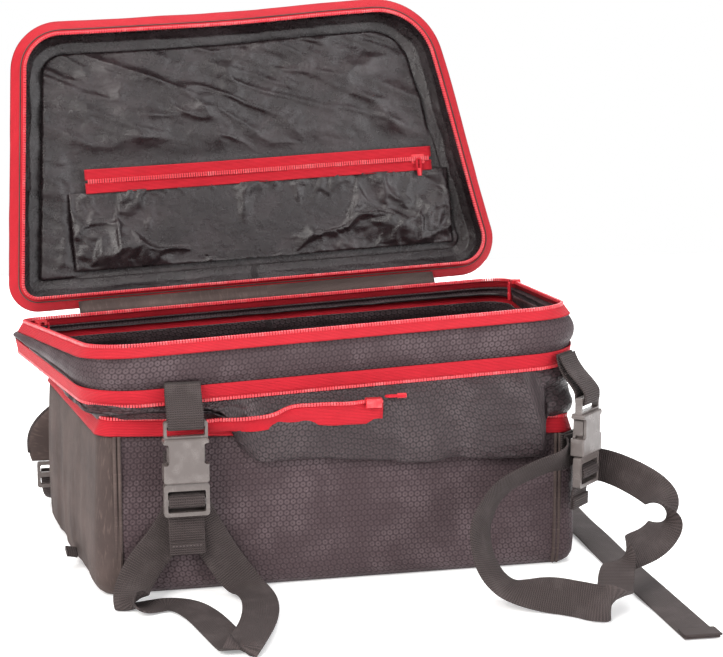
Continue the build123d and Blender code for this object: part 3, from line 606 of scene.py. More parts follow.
def stitches(name, points, ups, body, pitch=3.6, length=2.4, radius=0.32):
    """Small raised stitches along a line."""
    points = np.asarray(points)
    run = run_along(points)
    count = int(run[-1] / pitch)
    where = (np.arange(count) + 0.5) * pitch
    centre, up, ahead, side = spaced(points, ups, run, where)
    vertices = []
    for along, wide, tall in ((-0.5, 0.3, -0.4), (-0.3, 1, 0.7), (0.3, 1, 0.7), (0.5, 0.3, -0.4)):
        for angle in range(6):
            a = angle * math.pi / 3
            vertices.append(
                centre + ahead * (along * length)
                + side * (math.cos(a) * radius * wide) + up * ((math.sin(a) * wide + tall) * radius)
            )
    vertices = np.stack(vertices, 1)
    faces = []
    for index in range(count):
        k = index * 24
        faces.append([k + i for i in range(6)][::-1])
        faces.append([k + 18 + i for i in range(6)])
        for band in range(3):
            low = k + band * 6
            faces += [(low + i, low + (i + 1) % 6, low + 6 + (i + 1) % 6, low + 6 + i) for i in range(6)]
    uvs = np.zeros((count * 24, 2))
    return mesh_piece(name, vertices, faces, THREAD, body, uvs)


def nurbs_line(points, steps=10):
    """Points along a smooth NURBS spline whose control points are given, in millimetres."""
    data = bpy.data.curves.new("route", "CURVE")
    data.dimensions = "3D"
    data.resolution_u = steps
    spline = data.splines.new("NURBS")
    spline.points.add(len(points) - 1)
    for point, place in zip(spline.points, points):
        point.co = (*[c * MM for c in place], 1)
    spline.order_u = 3
    spline.use_endpoint_u = True
    holder = bpy.data.objects.new("route", data)
    mesh = bpy.data.meshes.new_from_object(holder)
    line = np.array([v.co for v in mesh.vertices]) / MM
    bpy.data.objects.remove(holder)
    bpy.data.meshes.remove(mesh)
    return line


STRAP_EDGE = [(-1, 0), (-0.985, 0.34), (-0.94, 0.5), (-0.6, 0.5), (-0.2, 0.5)]
STRAP_EDGE += [(-u, v) for u, v in STRAP_EDGE[:0:-1]]
STRAP_EDGE += [(-u, -v) for u, v in STRAP_EDGE]


def webbing(name, route, body, thickness=WEBBING_THICKNESS, steps=10, cup=0.0):
    """Flat webbing along a route of (centre, half-width vector); returns the piece and its centre line."""
    centre = nurbs_line([c for c, h in route], steps)
    edge = nurbs_line([np.add(c, h) for c, h in route], steps)
    half = edge - centre
    ahead = unit_rows(np.gradient(centre, axis=0))
    half -= ahead * np.sum(half * ahead, 1)[:, None]
    width = np.linalg.norm(route[0][1])
    half *= width / np.linalg.norm(half, axis=1)[:, None]
    face = unit_rows(np.cross(ahead, half))
    run = run_along(centre)
    points, uvs = [], []
    for u, v in STRAP_EDGE:
        points.append(centre + half * u + face * (v * thickness + cup * (u * u - 0.4)))
        uvs.append(np.stack([run, np.full(len(run), (u + 1) * width + (60 if v < 0 else 0))], 1))
    count = len(STRAP_EDGE)
    points = np.stack(points, 1)
    points[..., 2] = np.maximum(points[..., 2], 0.2 + 0.5 * (np.array(STRAP_EDGE)[:, 1] + 0.5) * thickness)
    uvs = np.stack(uvs, 1)
    faces = tube_faces(len(run), count)
    piece = mesh_piece(name, points, faces, STRAP, body, uvs)
    return piece, centre, run[-1]

# ---------------------------------------------------------------- free straps, on the CAD's routes

STRAP_LOOP_LEFT = [
    ((-116, -122.6, 100), (12.7, 0, 0)), ((-116, -122.9, 76), (12.7, 0, 0)),
    ((-120, -123.6, 58), (12.4, 0, -2.5)), ((-131, -124.4, 41), (11, 0, -6.2)),
    ((-145, -127.5, 26), (9.6, -1.5, -7.6)), ((-155, -138, 13), (9.4, -6.5, -5)),
    ((-158.5, -151, 6), (9.6, -11.5, -1)), ((-155, -157, 2.8), (8.6, -14, 0)),
    ((-143, -150, 1.3), (4, -14, 0)), ((-132, -147, 1.6), (-4, -12.5, 0)),
    ((-120, -156, 2), (-9, -9.5, 0)), ((-112, -178, 1.8), (-11.5, -6, 0)),
    ((-107, -208, 1.5), (-12.4, -3, 0)), ((-103, -236, 1.7), (-12.5, -1, 0)),
    ((-101, -253, 2.6), (-12.2, 3, 0)), ((-99, -256, 4.6), (-12, 4, 0)), ((-92, -243, 6.6), (-11.5, 6, 0)),
    ((-80, -212, 6), (-11.5, 5.6, 0)), ((-72, -180, 5.5), (-12, 4, 0)), ((-70, -154, 6), (-12.6, 1, 0)),
    ((-77, -136, 9), (-12.4, 0, -2)), ((-88, -129.6, 23), (-11.2, 0, -6)),
    ((-100, -128.6, 44), (-11.6, 0, -5)), ((-110, -128.2, 63), (-12.4, 0, -2.6)),
    ((-115.5, -128.6, 80), (-12.7, 0, 0)),
]
STRAP_LOOP_RIGHT = [
    ((174.2, -119.9, 100), (9.1, 8.8, 0)), ((174.2, -120.2, 92), (9.1, 8.8, 0)),
    ((170, -127, 87), (7.5, 8.4, -5)), ((160, -135.5, 84), (5, 9, -7)),
    ((146, -138, 81), (5.2, 8.8, -7.4)), ((129, -141, 76), (5.6, 9, -7)),
    ((113, -146, 70), (6.4, 9, -6.2)), ((101, -154, 62), (7.8, 8.8, -4.8)),
    ((92, -162, 51), (8.9, 8.2, -3.9)), ((87, -171, 41), (9.7, 7.9, -2.2)),
    ((87, -181, 28), (9.3, 8.6, 0)), ((90, -192, 18), (9.4, 8.5, 0.6)), ((97, -202, 11.5), (8.6, 9, 2.4)),
    ((107, -210, 10.5), (5.5, 9.6, 6.2)), ((120, -220, 11.5), (2.2, 7, 10.2)),
    ((134, -238, 12.8), (0, 3, 12.2)), ((146, -250, 12.4), (3, 4, 11.4)), ((156, -250, 12), (9, 4, 8)),
    ((162, -241, 13), (12, -1, 4.2)), ((167, -228, 17), (12.4, -1.6, 1.6)),
    ((174, -213, 24), (12, -2, 3.4)), ((183, -203, 29.5), (9.6, 3, 7.8)),
    ((194, -198, 31.5), (4.6, 7, 9.6)), ((207, -192, 33), (2.4, 8.6, 9.2)),
    ((219, -184, 37), (1.6, 9.6, 8.2)), ((228, -176, 44), (3, 10.4, 6.6)), ((230, -168, 54), (5, 11, 3.6)),
    ((228, -152, 61), (5.6, 6, 9)), ((220, -131, 66), (3, 3, 11.9)), ((209, -113, 70), (1, 1, 12.6)),
    ((200.5, -104, 71), (0, 0, 12.7)), ((193, -103.5, 72), (0, 0, 12.7)),
    ((186.5, -109.5, 72), (0, 0, 12.7)), ((180.6, -115, 72), (0, 0, 12.7)),
]
HARNESS_TAIL_LEFT = [
    ((-187, 133, 34), (12.7, 0, 0)), ((-187, 136, 20), (12.7, 0, 0)), ((-184, 143, 8), (12.6, -1, 0)),
    ((-176, 153, 2), (11, -6.3, 0)), ((-164, 166, 1.2), (9, -9, 0)), ((-148, 180, 1.2), (7, -10.6, 0)),
    ((-128, 190, 1.2), (4, -12, 0)), ((-104, 190, 1.2), (-2, -12.5, 0)), ((-82, 180, 1.2), (-6, -11.2, 0)),
    ((-62, 166, 1.2), (-7.5, -10.2, 0)),
]
HARNESS_TAIL_RIGHT = [
    ((172, 133, 34), (-12.7, 0, 0)), ((173, 137, 20), (-12.7, 0, 0)), ((178, 145, 9), (-10.5, 7, 0)),
    ((190, 150, 3), (-3, 12.3, 0)), ((206, 146, 1.4), (6, 11.2, 0)), ((221, 128, 1.2), (11.2, 6, 0)),
    ((228, 98, 1.2), (12.6, 1.5, 0)), ((227, 62, 1.2), (12.6, 1, 0)), ((223, 20, 1.2), (12.7, 0.6, 0)),
    ((218, -20, 1.6), (12.7, 1, 0)), ((215, -62, 2.2), (12.7, 1, 0)), ((212, -100, 1.4), (12.7, 1, 0)),
    ((208, -148, 1.2), (12.7, 1, 0)), ((205, -200, 1.2), (12.7, 1, 0)), ((202, -250, 1.2), (12.7, 1, 0)),
    ((199, -300, 1.2), (12.7, 1, 0)),
]


def free_strap(name, route, node):
    """A length of free webbing that stands for one CAD node."""
    piece, line, length = webbing(name, route, "base")
    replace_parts(piece, node)
    return piece


free_strap("spare_strap_left", STRAP_LOOP_LEFT, "strap_loop_left")
free_strap("spare_strap_right", STRAP_LOOP_RIGHT, "strap_loop_right")
free_strap("harness_end_left", HARNESS_TAIL_LEFT, "harness_tail_left")
HARNESS_HEM = [((200.6, -287, 3), (12.9, 0.9, 0)), ((199.8, -301, 3), (12.9, 0.9, 0))]
hem, _, _ = webbing("harness_end_hem", HARNESS_HEM, "base")
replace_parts(hem, "harness_hem")
free_strap("harness_end_right", HARNESS_TAIL_RIGHT, "harness_tail_right")

# ---------------------------------------------------------------- base

WALL = 5.0
LINER_THICKNESS = 0.8
BASE_LEVELS = levels_at(FLOOR, BASE, (0, 5), (3, 2.6), (8, 1.2), (20, 0.5), (46, 0), (78, 0.4))
BASE_LEVELS.append((BASE_TOP, BASE, 1))


def base_out(points, t, share):
    """Padding that swells between its seams, with slack creases."""
    swell = 2.2 * np.sin(math.pi * t) ** 0.8 * np.minimum(share, 1)
    slack = 1.3 * field(points, 75, 1.0) + 0.9 * creases(points * (1, 1, 0.8), 60, 4.0) * np.sin(math.pi * t)
    return swell - 1.4 + slack * np.minimum(1, t * 4) * np.minimum(1, (1 - t) * 6)


def soft_end_out(points, t, share):
    """The end panels hang in soft upright folds."""
    folds = field(points * (1, 1, 0.22), 34, 6.0)
    lengthways = np.sin(math.pi * t) ** 0.7
    sharp = 1.0 * creases(points * (1, 1, 0.3), 46, 8.0) * lengthways
    return 1.5 * np.sin(math.pi * t) ** 0.8 - 1.2 + 2.4 * folds * lengthways + sharp


base_flat, _, _ = outline(BASE, 0)
on_front = base_flat[:, 1] < -100
between_seams = (base_flat[:, 0] >= FRONT_SEAMS[0]) & (base_flat[:, 0] <= FRONT_SEAMS[1])
front_columns = np.where(on_front & between_seams)[0]
back_left = np.where((base_flat[:, 1] > 100) & (base_flat[:, 0] < BACK_SEAMS[0]))[0]
back_right = np.where((base_flat[:, 1] > 100) & (base_flat[:, 0] > BACK_SEAMS[1]))[0]
left_columns = np.arange(back_left.min() - 1, front_columns[0] + 1)
right_columns = np.arange(front_columns[-1], back_right.max() + 2)
back_columns = np.arange(right_columns[-1], len(base_flat) + left_columns[0] + 1) % len(base_flat)

PANELS = {
    "front_panel": (front_columns, EMBOSSED, "embossed_fabric", base_out),
    "end_panel_left": (left_columns, PLAIN, "plain_fabric", soft_end_out),
    "end_panel_right": (right_columns, EMBOSSED, "embossed_fabric", soft_end_out),
    "back_panel": (back_columns, PLAIN, "plain_fabric", base_out),
}
for node, (columns, material, slot, shape_out) in PANELS.items():
    panel = wall_piece(f"{node}_cloth", BASE_LEVELS, 6, WALL, material, "base", columns, shape_out, 10)
    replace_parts(panel, node)

liner_levels = [(FLOOR.moved(6.4), BASE, 7.2), (FLOOR.moved(46), BASE, 6.6), (BASE_TOP.moved(-2), BASE, 8)]


def liner_out(points, t, share):
    return -1.6 * creases(points, 48, 2.0) * np.sin(math.pi * t) - 0.6


liner = wall_piece(
    "base_liner_cloth", liner_levels, 12, LINER_THICKNESS, LINING, "base", shape_out=liner_out,
)
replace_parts(liner, "base_liner")


TUBE_SIDEWAYS = (0.31, 0.87, 0.38)


def tube(name, points, radius, material, body, steps=6):
    """Round cord or piping along a smooth line."""
    line = nurbs_line(points, steps)
    ahead = unit_rows(np.gradient(line, axis=0))
    side = unit_rows(np.cross(ahead, TUBE_SIDEWAYS))
    over = np.cross(ahead, side)
    sides = 10
    angles = np.arange(sides) * 2 * math.pi / sides
    ring = side[:, None] * np.cos(angles)[:, None] + over[:, None] * np.sin(angles)[:, None]
    points = line[:, None] + ring * radius
    run = run_along(line)
    uvs = np.stack([np.repeat(run[:, None], sides, 1), np.repeat((angles * radius)[None], len(line), 0)], 2)
    return mesh_piece(name, points, tube_faces(len(line), sides), material, body, uvs)


PIPING_TUCKS = [(1.2, 4), (6, 1.5), (20, 0.5), (46, 0), (76, 0), (104, 0.8)]
for side, seam, face_y in (("left", FRONT_SEAMS[0], -119.1), ("right", FRONT_SEAMS[1], -120.9)):
    for place, shift in (("outer", -1.6), ("inner", 1.6)):
        top = 108 - 0.045 * seam
        heights = [(min(h, top) if h < 100 else top, tuck) for h, tuck in PIPING_TUCKS]
        line = [(seam + shift, face_y - 0.2 + tuck, h) for h, tuck in heights]
        cord = tube(f"corner_piping_{side}_{place}", line, 1.35, PLAIN, "base")
        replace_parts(cord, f"corner_piping_{side}")

zip_half(
    "expansion_lower",
    levels_at(BASE_TOP, BASE, (-0.8, 0.4), (10, 4.6)),
    (BASE_TOP.moved(10.9), BASE, 5.4),
    ("expansion_tape_lower", "expansion_coil_lower"),
    "base",
)

# ---------------------------------------------------------------- upper band


def band_out(points, t, share):
    """A padded band, round between its hems, with small puckers along them."""
    round_out = 4.2 * np.sin(math.pi * np.clip((t - 0.1) / 0.8, 0, 1)) ** 0.7 - 0.8
    pucker = 0.8 * field(points * (1, 1, 0.25), 11, 5.0) * np.exp(-(((t - 0.12) / 0.12) ** 2))
    pucker = pucker + 0.8 * field(points * (1, 1, 0.25), 12, 7.0) * np.exp(-(((t - 0.88) / 0.12) ** 2))
    return round_out + pucker + 1.0 * field(points, 55, 2.5)


BAND_LEVELS = [(BAND_BOTTOM, UPPER, 0.6), (RIM.moved(-8.0), UPPER, 1.6)]
band = wall_piece(
    "band_cloth", BAND_LEVELS, 26, WALL, EMBOSSED, "upper", shape_out=band_out, pinch=8,
)
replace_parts(band, "band")
band_liner_levels = [(BAND_BOTTOM.moved(1), UPPER, 7), (RIM.moved(-ZIP_HALF - 3.2), UPPER, 8)]
band_liner = wall_piece(
    "band_liner_cloth", band_liner_levels, 8, LINER_THICKNESS, LINING, "upper", shape_out=liner_out,
)
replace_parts(band_liner, "band_liner")

zip_half(
    "expansion_upper",
    levels_at(BAND_BOTTOM, UPPER, (0.4, -0.2), (-10, 1.2)),
    (BAND_BOTTOM.moved(-11), UPPER, 2.2),
    ("expansion_tape_upper", "expansion_coil_upper"),
    "upper",
)
zip_half(
    "rim",
    levels_at(RIM, UPPER, (-9.0, 0.9), (-COIL_HEIGHT, 5.4)),
    (RIM.moved(-1.2), UPPER, 6.8),
    ("rim_tape", "rim_coil"),
    "upper",
)

# ---------------------------------------------------------------- bellows

# Profile of the slack bellows, from its lower seam to its upper one: how far out
# from the outline and how far up.  "low" heights count from the base's top and
# "high" ones from the foot of the band; at the front right the cloth flops over
# the lower zip and hangs below it.
TIDY = [
    (-7, "low", 0.5), (-6.6, "low", 8), (-3, "low", 13), (0.5, "low", 17), (-1, "mid", 0.42),
    (-7, "mid", 0.5), (-2, "mid", 0.6), (1.5, "high", -19), (-1.5, "high", -14.5),
    (-4.5, "high", -11), (-6, "high", -4), (-6, "high", -0.5),
]
FLOPPED = [
    (-7, "low", 0.5), (-6, "low", 12), (-1.5, "low", 13.8), (4.2, "low", 5), (5.0, "low", -8),
    (4.6, "low", -19), (8.6, "low", -15), (8.8, "low", 1), (5.5, "mid", 0.45),
    (2.2, "high", -18), (-3.8, "high", -11), (-6, "high", -0.5),
]


def smooth_step(x, low, high):
    t = np.clip((x - low) / (high - low), 0, 1)
    return t * t * (3 - 2 * t)


def bellows_piece():
    base_points, base_normals, length = ring_row(BASE_TOP, BASE, 0)
    band_points, _, _ = ring_row(BAND_BOTTOM, UPPER, 0)
    x, y = base_points[:, 0], base_points[:, 1]
    front = y < -100
    flop = np.where(front, smooth_step(x, -104, -62) * (1 - smooth_step(x, 148, 166)), 0.0)
    gap = band_points[:, 2] - base_points[:, 2]
    wander = field(np.stack([length, length * 0, length * 0], 1), 70, 3.0)
    wander_two = field(np.stack([length, length * 0, length * 0], 1), 45, 9.0)
    columns = []
    for tidy, flopped in zip(TIDY, FLOPPED):
        place = []
        for out, kind, value in (tidy, flopped):
            height = {"low": base_points[:, 2] + value, "high": band_points[:, 2] + value}.get(kind)
            if height is None:
                height = base_points[:, 2] + gap * value
            share = np.clip((height - base_points[:, 2]) / gap, 0, 1)
            floor = base_points + (band_points - base_points) * share[:, None]
            point = floor + base_normals * out
            point[:, 2] = height
            place.append(point)
        columns.append(place[0] + (place[1] - place[0]) * flop[:, None])
    loose = np.array([0, 0, 0.3, 0.8, 1, 1, 1, 1, 0.8, 0.3, 0, 0])
    for index, weight in enumerate(loose):
        columns[index] = columns[index] + base_normals * (wander * 1.6 * weight * (-1) ** index)[:, None]
        columns[index][:, 2] += wander_two * 3.0 * weight
    control = np.array(columns)
    knots = len(control)
    rows = []
    for u in np.linspace(0, knots - 3, 66):
        k = min(int(u), knots - 4)
        t = u - k
        middle_weights = (3 * t**3 - 6 * t**2 + 4) / 6, (-3 * t**3 + 3 * t**2 + 3 * t + 1) / 6
        weights = ((1 - t) ** 3 / 6, *middle_weights, t**3 / 6)
        rows.append(sum(w * control[k + i] for i, w in enumerate(weights)))
    outer = np.array(rows)
    step_rows = np.gradient(outer, axis=0)
    step_columns = np.roll(outer, -1, 1) - np.roll(outer, 1, 1)
    normals = np.cross(step_columns, step_rows)
    normals /= np.linalg.norm(normals, axis=2)[..., None] + 1e-9
    middle = np.sin(math.pi * np.linspace(0, 1, len(rows)))[:, None]
    crumple = 1.5 * field(outer * (0.6, 0.6, 1), 17, 12.0, 3) * middle
    crumple = crumple + 1.6 * creases(outer * (0.45, 0.45, 1.1), 22, 15.0) * middle
    outer = outer + normals * crumple[..., None]
    inner = outer - normals * 0.7
    heights = np.cumsum(np.linalg.norm(np.diff(outer, axis=0, prepend=outer[:1]), axis=2), 0)
    uv = np.stack([np.repeat(length[None], len(rows), 0), heights], 2)
    loop = np.concatenate([outer, inner[::-1]])
    faces = [face[::-1] for face in grid_faces(len(loop), outer.shape[1], wrap_rows=True, wrap_columns=True)]
    uvs = np.concatenate([uv, uv[::-1]]).reshape(-1, 2)
    return mesh_piece("bellows_cloth", loop, faces, BELLOWS_CLOTH, None, uvs)


bellows = bellows_piece()
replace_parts(bellows, "bellows")
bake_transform(bellows)

# ---------------------------------------------------------------- lid


def lid_wave(points):
    """The soft lid isn't quite flat: a slow wave over all its pieces."""
    u = (points - LID_PLANE.origin) @ LID_PLANE.x
    v = (points - LID_PLANE.origin) @ LID_PLANE.y
    free = smooth_step(-v, -60, 121)
    across = 2.4 * np.sin(u / 46 + 0.6) * free + 1.5 * np.sin(u / 23 + 2.0) * free
    upward = 1.6 * np.sin(u / 58 - 0.4) * free
    side = 1.8 * np.sin(v / 37) * smooth_step(np.abs(u), 120, 190) * (1 - smooth_step(v, 70, 110))
    return (
        points + LID_PLANE.normal * (across + side)[..., None]
        - LID_PLANE.y * upward[..., None]
    )


def on_lid(piece):
    """Bend a finished lid piece with the lid's slow wave."""
    count = len(piece.data.vertices)
    flat = np.zeros(count * 3)
    piece.data.vertices.foreach_get("co", flat)
    moved = lid_wave(flat.reshape(-1, 3) / MM)
    piece.data.vertices.foreach_set("co", (moved * MM).ravel())
    piece.data.update()
    return piece


def closing_rows(points, centre, steps):
    """Rows that shrink a closed row of points to a spot."""
    return [centre + (points - centre) * (1 - t) for t in np.linspace(0, 1, steps + 1)[1:]]


def tray(name, levels, steps, fill_steps, material, body, shape_out, flip=False):
    """A one-sided tray: rows through the levels and then in to the middle, with a thin second side."""
    points, normals, length = through(levels, steps)
    last = points[-1]
    centre = last.mean(0)
    rows = list(points) + closing_rows(last, centre, fill_steps)[:-1]
    outer = np.array(rows)
    direction = levels[-1][0].normal
    wall_rows = len(points)
    panel_side = np.broadcast_to(direction, (len(rows) - wall_rows, *outer.shape[1:]))
    side = np.concatenate([normals, panel_side])
    outer = outer + side * shape_out(outer, wall_rows)[..., None]
    run = np.cumsum(np.linalg.norm(np.diff(outer, axis=0, prepend=outer[:1]), axis=2), 0)
    plane = levels[-1][0]
    u = (outer - plane.origin) @ plane.x
    v = (outer - plane.origin) @ plane.y
    uv = np.stack([u, v], 2)
    wall_uv = np.stack([np.repeat(length[:1], wall_rows, 0), run[:wall_rows]], 2)
    uv[:wall_rows - 1] = wall_uv[:-1]
    count = outer.shape[1]
    flat = outer.reshape(-1, 3)
    faces = grid_faces(len(rows), count, wrap_columns=True)
    faces.append([(len(rows) - 1) * count + i for i in range(count)])
    if not flip:
        faces = [face[::-1] for face in faces]
    piece = mesh_piece(name, flat, faces, material, body, uv)
    thick = piece.modifiers.new("cloth", "SOLIDIFY")
    thick.thickness = 0.9 * MM
    thick.offset = -1
    return piece


def lid_skin_out(points, wall_rows):
    bulge = np.zeros(points.shape[:2])
    t = np.linspace(0, 1, len(points) - wall_rows)[:, None]
    bulge[wall_rows:] = 3.0 * np.sin(t * math.pi / 2) + 2.0 * field(points[wall_rows:], 90, 4.4)
    return bulge + 1.0 * field(points, 45, 2.2)


def lid_lining_out(points, wall_rows):
    """Loose nylon: long slanting folds over the panel, small ones on the walls."""
    slant = points * (0.5, 1, 1.25) + points[..., [2, 1, 0]] * (0.42, 0, 0.28)
    folds = 3.2 * creases(slant, 62, 3.3) + 2.0 * creases(slant, 30, 6.1) + 1.6 * field(points, 40, 9.0, 4)
    u = (points - LID_PLANE.origin) @ LID_PLANE.x
    v = (points - LID_PLANE.origin) @ LID_PLANE.y
    by_zip = smooth_step(v, -22, 0) * (1 - smooth_step(v, 92, 104)) * (1 - smooth_step(np.abs(u), 158, 172))
    edge = np.ones(points.shape[:2])
    edge[:wall_rows] = np.linspace(0.1, 0.5, wall_rows)[:, None]
    return (-2.5 - folds) * edge * (1 - by_zip) + 0.8 * by_zip


on_lid(tray(
    "lid_outer_cloth",
    levels_at(LID_PLANE, LID, (8.4, 0.4), (22, 5.5), (30, 13), (34, 26)),
    5, 26, EMBOSSED, "lid", lid_skin_out,
))
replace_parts(bpy.data.objects["lid_outer_cloth"], "lid_shell")
lining = on_lid(tray(
    "lid_lining_cloth",
    levels_at(LID_PLANE, LID, (9.6, 5.2), (20, 7), (27, 12), (29.5, 22)),
    7, 90, SHINY, "lid", lid_lining_out, flip=True,
))
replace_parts(lining, "lid_lining")


def rim_roll(points, t, share):
    return 1.2 * np.sin(math.pi * t) + 0.3 * field(points, 20, 1.0)


hem = on_lid(wall_piece(
    "lid_hem_band", levels_at(LID_PLANE, LID, (8.6, 1.4), (10.4, 5.0)), 4, 1.4, PLAIN, "lid",
    shape_out=rim_roll,
))
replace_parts(hem, "lid_shell")
zip_half(
    "lid_rim",
    levels_at(LID_PLANE, LID, (COIL_HEIGHT, 7.6), (5, 3.0), (10, -3.2)),
    (LID_PLANE.moved(1.3), LID, 8.0),
    ("lid_rim_tape", "lid_rim_coil"),
    "lid",
)
seam_points, _, _ = ring_row(LID_PLANE.moved(3.9), LID, 4.6)
seam_line = np.concatenate([seam_points[::2], seam_points[:1]])
seam = tube("lid_rim_seam", seam_line, 0.55, PLAIN, "lid", steps=2)
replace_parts(seam, "lid_shell")
for name in ("lid_rim_tape_cloth", "lid_rim_teeth", "lid_rim_seam"):
    on_lid(bpy.data.objects[name])

# The pocket: two half-tapes with teeth between them, and a baggy panel below.
POCKET_ZIP_Y = 14
POCKET_ENDS = (-150, 150)
POCKET_BOTTOM_Y = 88
POCKET_FACE = 26.6
POCKET_SLACK = 0.06
POCKET_FRAMES = 24
pocket_plane = LID_PLANE.moved(POCKET_FACE)


def settled(points, slack, frames):
    """A cloth simulation of a grid of points held at its border, cut larger than its place by the slack."""
    rows, count = points.shape[:2]
    data = bpy.data.meshes.new("settling")
    data.from_pydata((points.reshape(-1, 3) * MM).tolist(), [], grid_faces(rows, count))
    cloth = bpy.data.objects.new("settling", data)
    scene.collection.objects.link(cloth)
    order = np.arange(rows * count).reshape(rows, count)
    border = np.concatenate([order[0], order[-1], order[1:-1, 0], order[1:-1, -1]])
    cloth.vertex_groups.new(name="held").add(border.tolist(), 1.0, "REPLACE")
    modifier = cloth.modifiers.new("settle", "CLOTH")
    settings = modifier.settings
    settings.vertex_group_mass = "held"
    settings.shrink_min = -slack
    settings.quality = 6
    settings.mass = 0.02
    settings.tension_stiffness = 12
    settings.compression_stiffness = 12
    settings.bending_stiffness = 0.02
    settings.effector_weights.gravity = 0.5
    for frame_number in range(1, frames + 1):
        scene.frame_set(frame_number)
    result = cloth.evaluated_get(bpy.context.evaluated_depsgraph_get())
    flat = np.zeros(rows * count * 3)
    result.data.vertices.foreach_get("co", flat)
    bpy.data.objects.remove(cloth)
    bpy.data.meshes.remove(data)
    scene.frame_set(1)
    return flat.reshape(rows, count, 3) / MM


def lid_patch(name, across, down, lift, material, thickness=0.8, slack=0.0):
    """Cloth spread on the lid's plane, at across and down, lifted towards the inside."""
    u, v = np.meshgrid(across, down)
    top = pocket_plane.point(u, v) - pocket_plane.normal * lift(u, v)[..., None]
    if slack:
        moved = settled(top, slack, POCKET_FRAMES)
        height = -(moved - pocket_plane.origin) @ pocket_plane.normal
        top = moved + pocket_plane.normal * (height - np.clip(height, 0.9, 15))[..., None]
    under = top + pocket_plane.normal * thickness
    uv = np.stack([u, v], 2)
    rows, count = u.shape
    points = np.concatenate([top.reshape(-1, 3), under.reshape(-1, 3)])
    front = grid_faces(rows, count)
    behind = [face[::-1] for face in grid_faces(rows, count, start=rows * count)]
    rim = rim_order(rows, count)
    edges = [
        (rim[(i + 1) % len(rim)], rim[i], rim[i] + rows * count, rim[(i + 1) % len(rim)] + rows * count)
        for i in range(len(rim))
    ]
    uvs = np.concatenate([uv.reshape(-1, 2), uv.reshape(-1, 2)])
    return on_lid(mesh_piece(name, points, front + behind + edges, material, "lid", uvs))


def tape_lift(u, v):
    return 2.6 + 0.5 * np.sin(u / 31) + 0.2 * np.sin(u / 9 + v)


def pocket_lift(u, v):
    """Slack cloth that hangs from the zip and bags towards the bottom seam."""
    across = np.clip((u - POCKET_ENDS[0] + 14) / 60, 0, 1) * np.clip((POCKET_ENDS[1] + 14 - u) / 60, 0, 1)
    down = np.clip((v - POCKET_ZIP_Y - 10) / (POCKET_BOTTOM_Y - POCKET_ZIP_Y - 10), 0, 1)
    bag = 5.0 * np.sin(math.pi * down**1.25) * np.sqrt(across)
    where = np.stack([u * 0.9, v * 1.1, u * 0 + 3], 2)
    swirl = np.stack([u * 0.7 + v * 0.5, v - u * 0.25, u * 0], 2)
    folds = 4.0 * creases(swirl, 60, 5.5) + 1.8 * creases(where, 34, 2.7) + 1.6 * field(where, 30, 8.8, 3)
    return 1.6 + bag + folds * np.sqrt(np.sin(math.pi * np.clip(down, 0.02, 0.98)))


for node, low, high in (("pocket_tape_upper", 3.8, 12.7), ("pocket_tape_lower", 15.3, 24.2)):
    across, down = np.linspace(*POCKET_ENDS, 100), np.linspace(low, high, 8)
    piece = lid_patch(f"{node}_cloth", across, down, tape_lift, TAPE_RED)
    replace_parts(piece, node)
pocket = lid_patch(
    "pocket_cloth", np.linspace(-164, 164, 165), np.linspace(23.0, POCKET_BOTTOM_Y, 40), pocket_lift,
    SHINY, slack=POCKET_SLACK,
)
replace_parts(pocket, "pocket_panel")
line_u = np.linspace(POCKET_ENDS[0] + 2, POCKET_ENDS[1] - 2, 120)
for shift in (-0.9, 0.9):
    line = pocket_plane.point(line_u, np.full(120, POCKET_ZIP_Y + shift), np.full(120, -2.9))
    name = "pocket_teeth_upper" if shift < 0 else "pocket_teeth_lower"
    up = np.repeat(pocket_plane.y[None], 120, 0)
    on_lid(teeth(name, line, up, COIL_RED, "lid", length=2.2))

strip = wall_piece(
    "hinge_cloth", levels_at(RIM, UPPER, (-8, -1.4), (1.5, -2.0), (5, -6), (10, -9)), 5, 1.2, PLAIN,
    None,
    columns=np.concatenate([np.arange(len(base_flat) - 26, len(base_flat)), np.arange(0, 27)]),
)
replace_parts(strip, "hinge_strip")
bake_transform(strip)

# ---------------------------------------------------------------- zip tail that hangs out of the bellows

ZIP_TAIL = [
    ((-100, -122.6, 120), (0, -0.6, 4.0)), ((-76, -124.5, 120), (0, -0.6, 4.4)),
    ((-54, -127, 122), (0, -0.8, 5.0)), ((-40, -128, 126), (0, -0.8, 6.5)),
    ((-20, -128.5, 126), (0, -0.8, 7.5)), ((4, -128.5, 125.5), (0, -0.8, 8.0)),
    ((27, -128, 125), (0, -0.8, 8.0)),
]


def tail_piece():
    """Loose zip tape, wavy, narrow where it leaves the seam and wide at its end."""
    centre = nurbs_line([c for c, h in ZIP_TAIL], 12)
    half = nurbs_line([h for c, h in ZIP_TAIL], 12)
    across = np.linspace(-1, 1, 13)
    run = run_along(centre)
    top = centre[:, None] + half[:, None] * across[None, :, None]
    ripple = 1.5 * np.sin(run / 9 + 0.5)[:, None] * (0.4 + across[None] ** 2)
    ripple = ripple + 0.8 * np.sin(run / 4.3)[:, None] * across[None]
    top[..., 1] += ripple - 1.2
    under = top + np.array([0, 0.9, 0])
    rows, count = top.shape[:2]
    loop = np.concatenate([top, under[:, ::-1]], 1)
    width = np.concatenate([across * 8, across[::-1] * 8 + 30])
    uv = np.stack([np.repeat(run[:, None], 2 * count, 1), np.repeat(width[None], rows, 0)], 2)
    faces = tube_faces(rows, 2 * count)
    piece = mesh_piece("zip_tail_cloth", loop, faces, TAPE_RED, "base", uv)
    edge = top[:, -1] + np.array([0, -0.4, 0.4])
    row = teeth("zip_tail_teeth", edge, half, COIL_RED, "base", length=2.4)
    return piece, row


for piece in tail_piece():
    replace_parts(piece, "expansion_zip_tail")

# ---------------------------------------------------------------- buckle straps


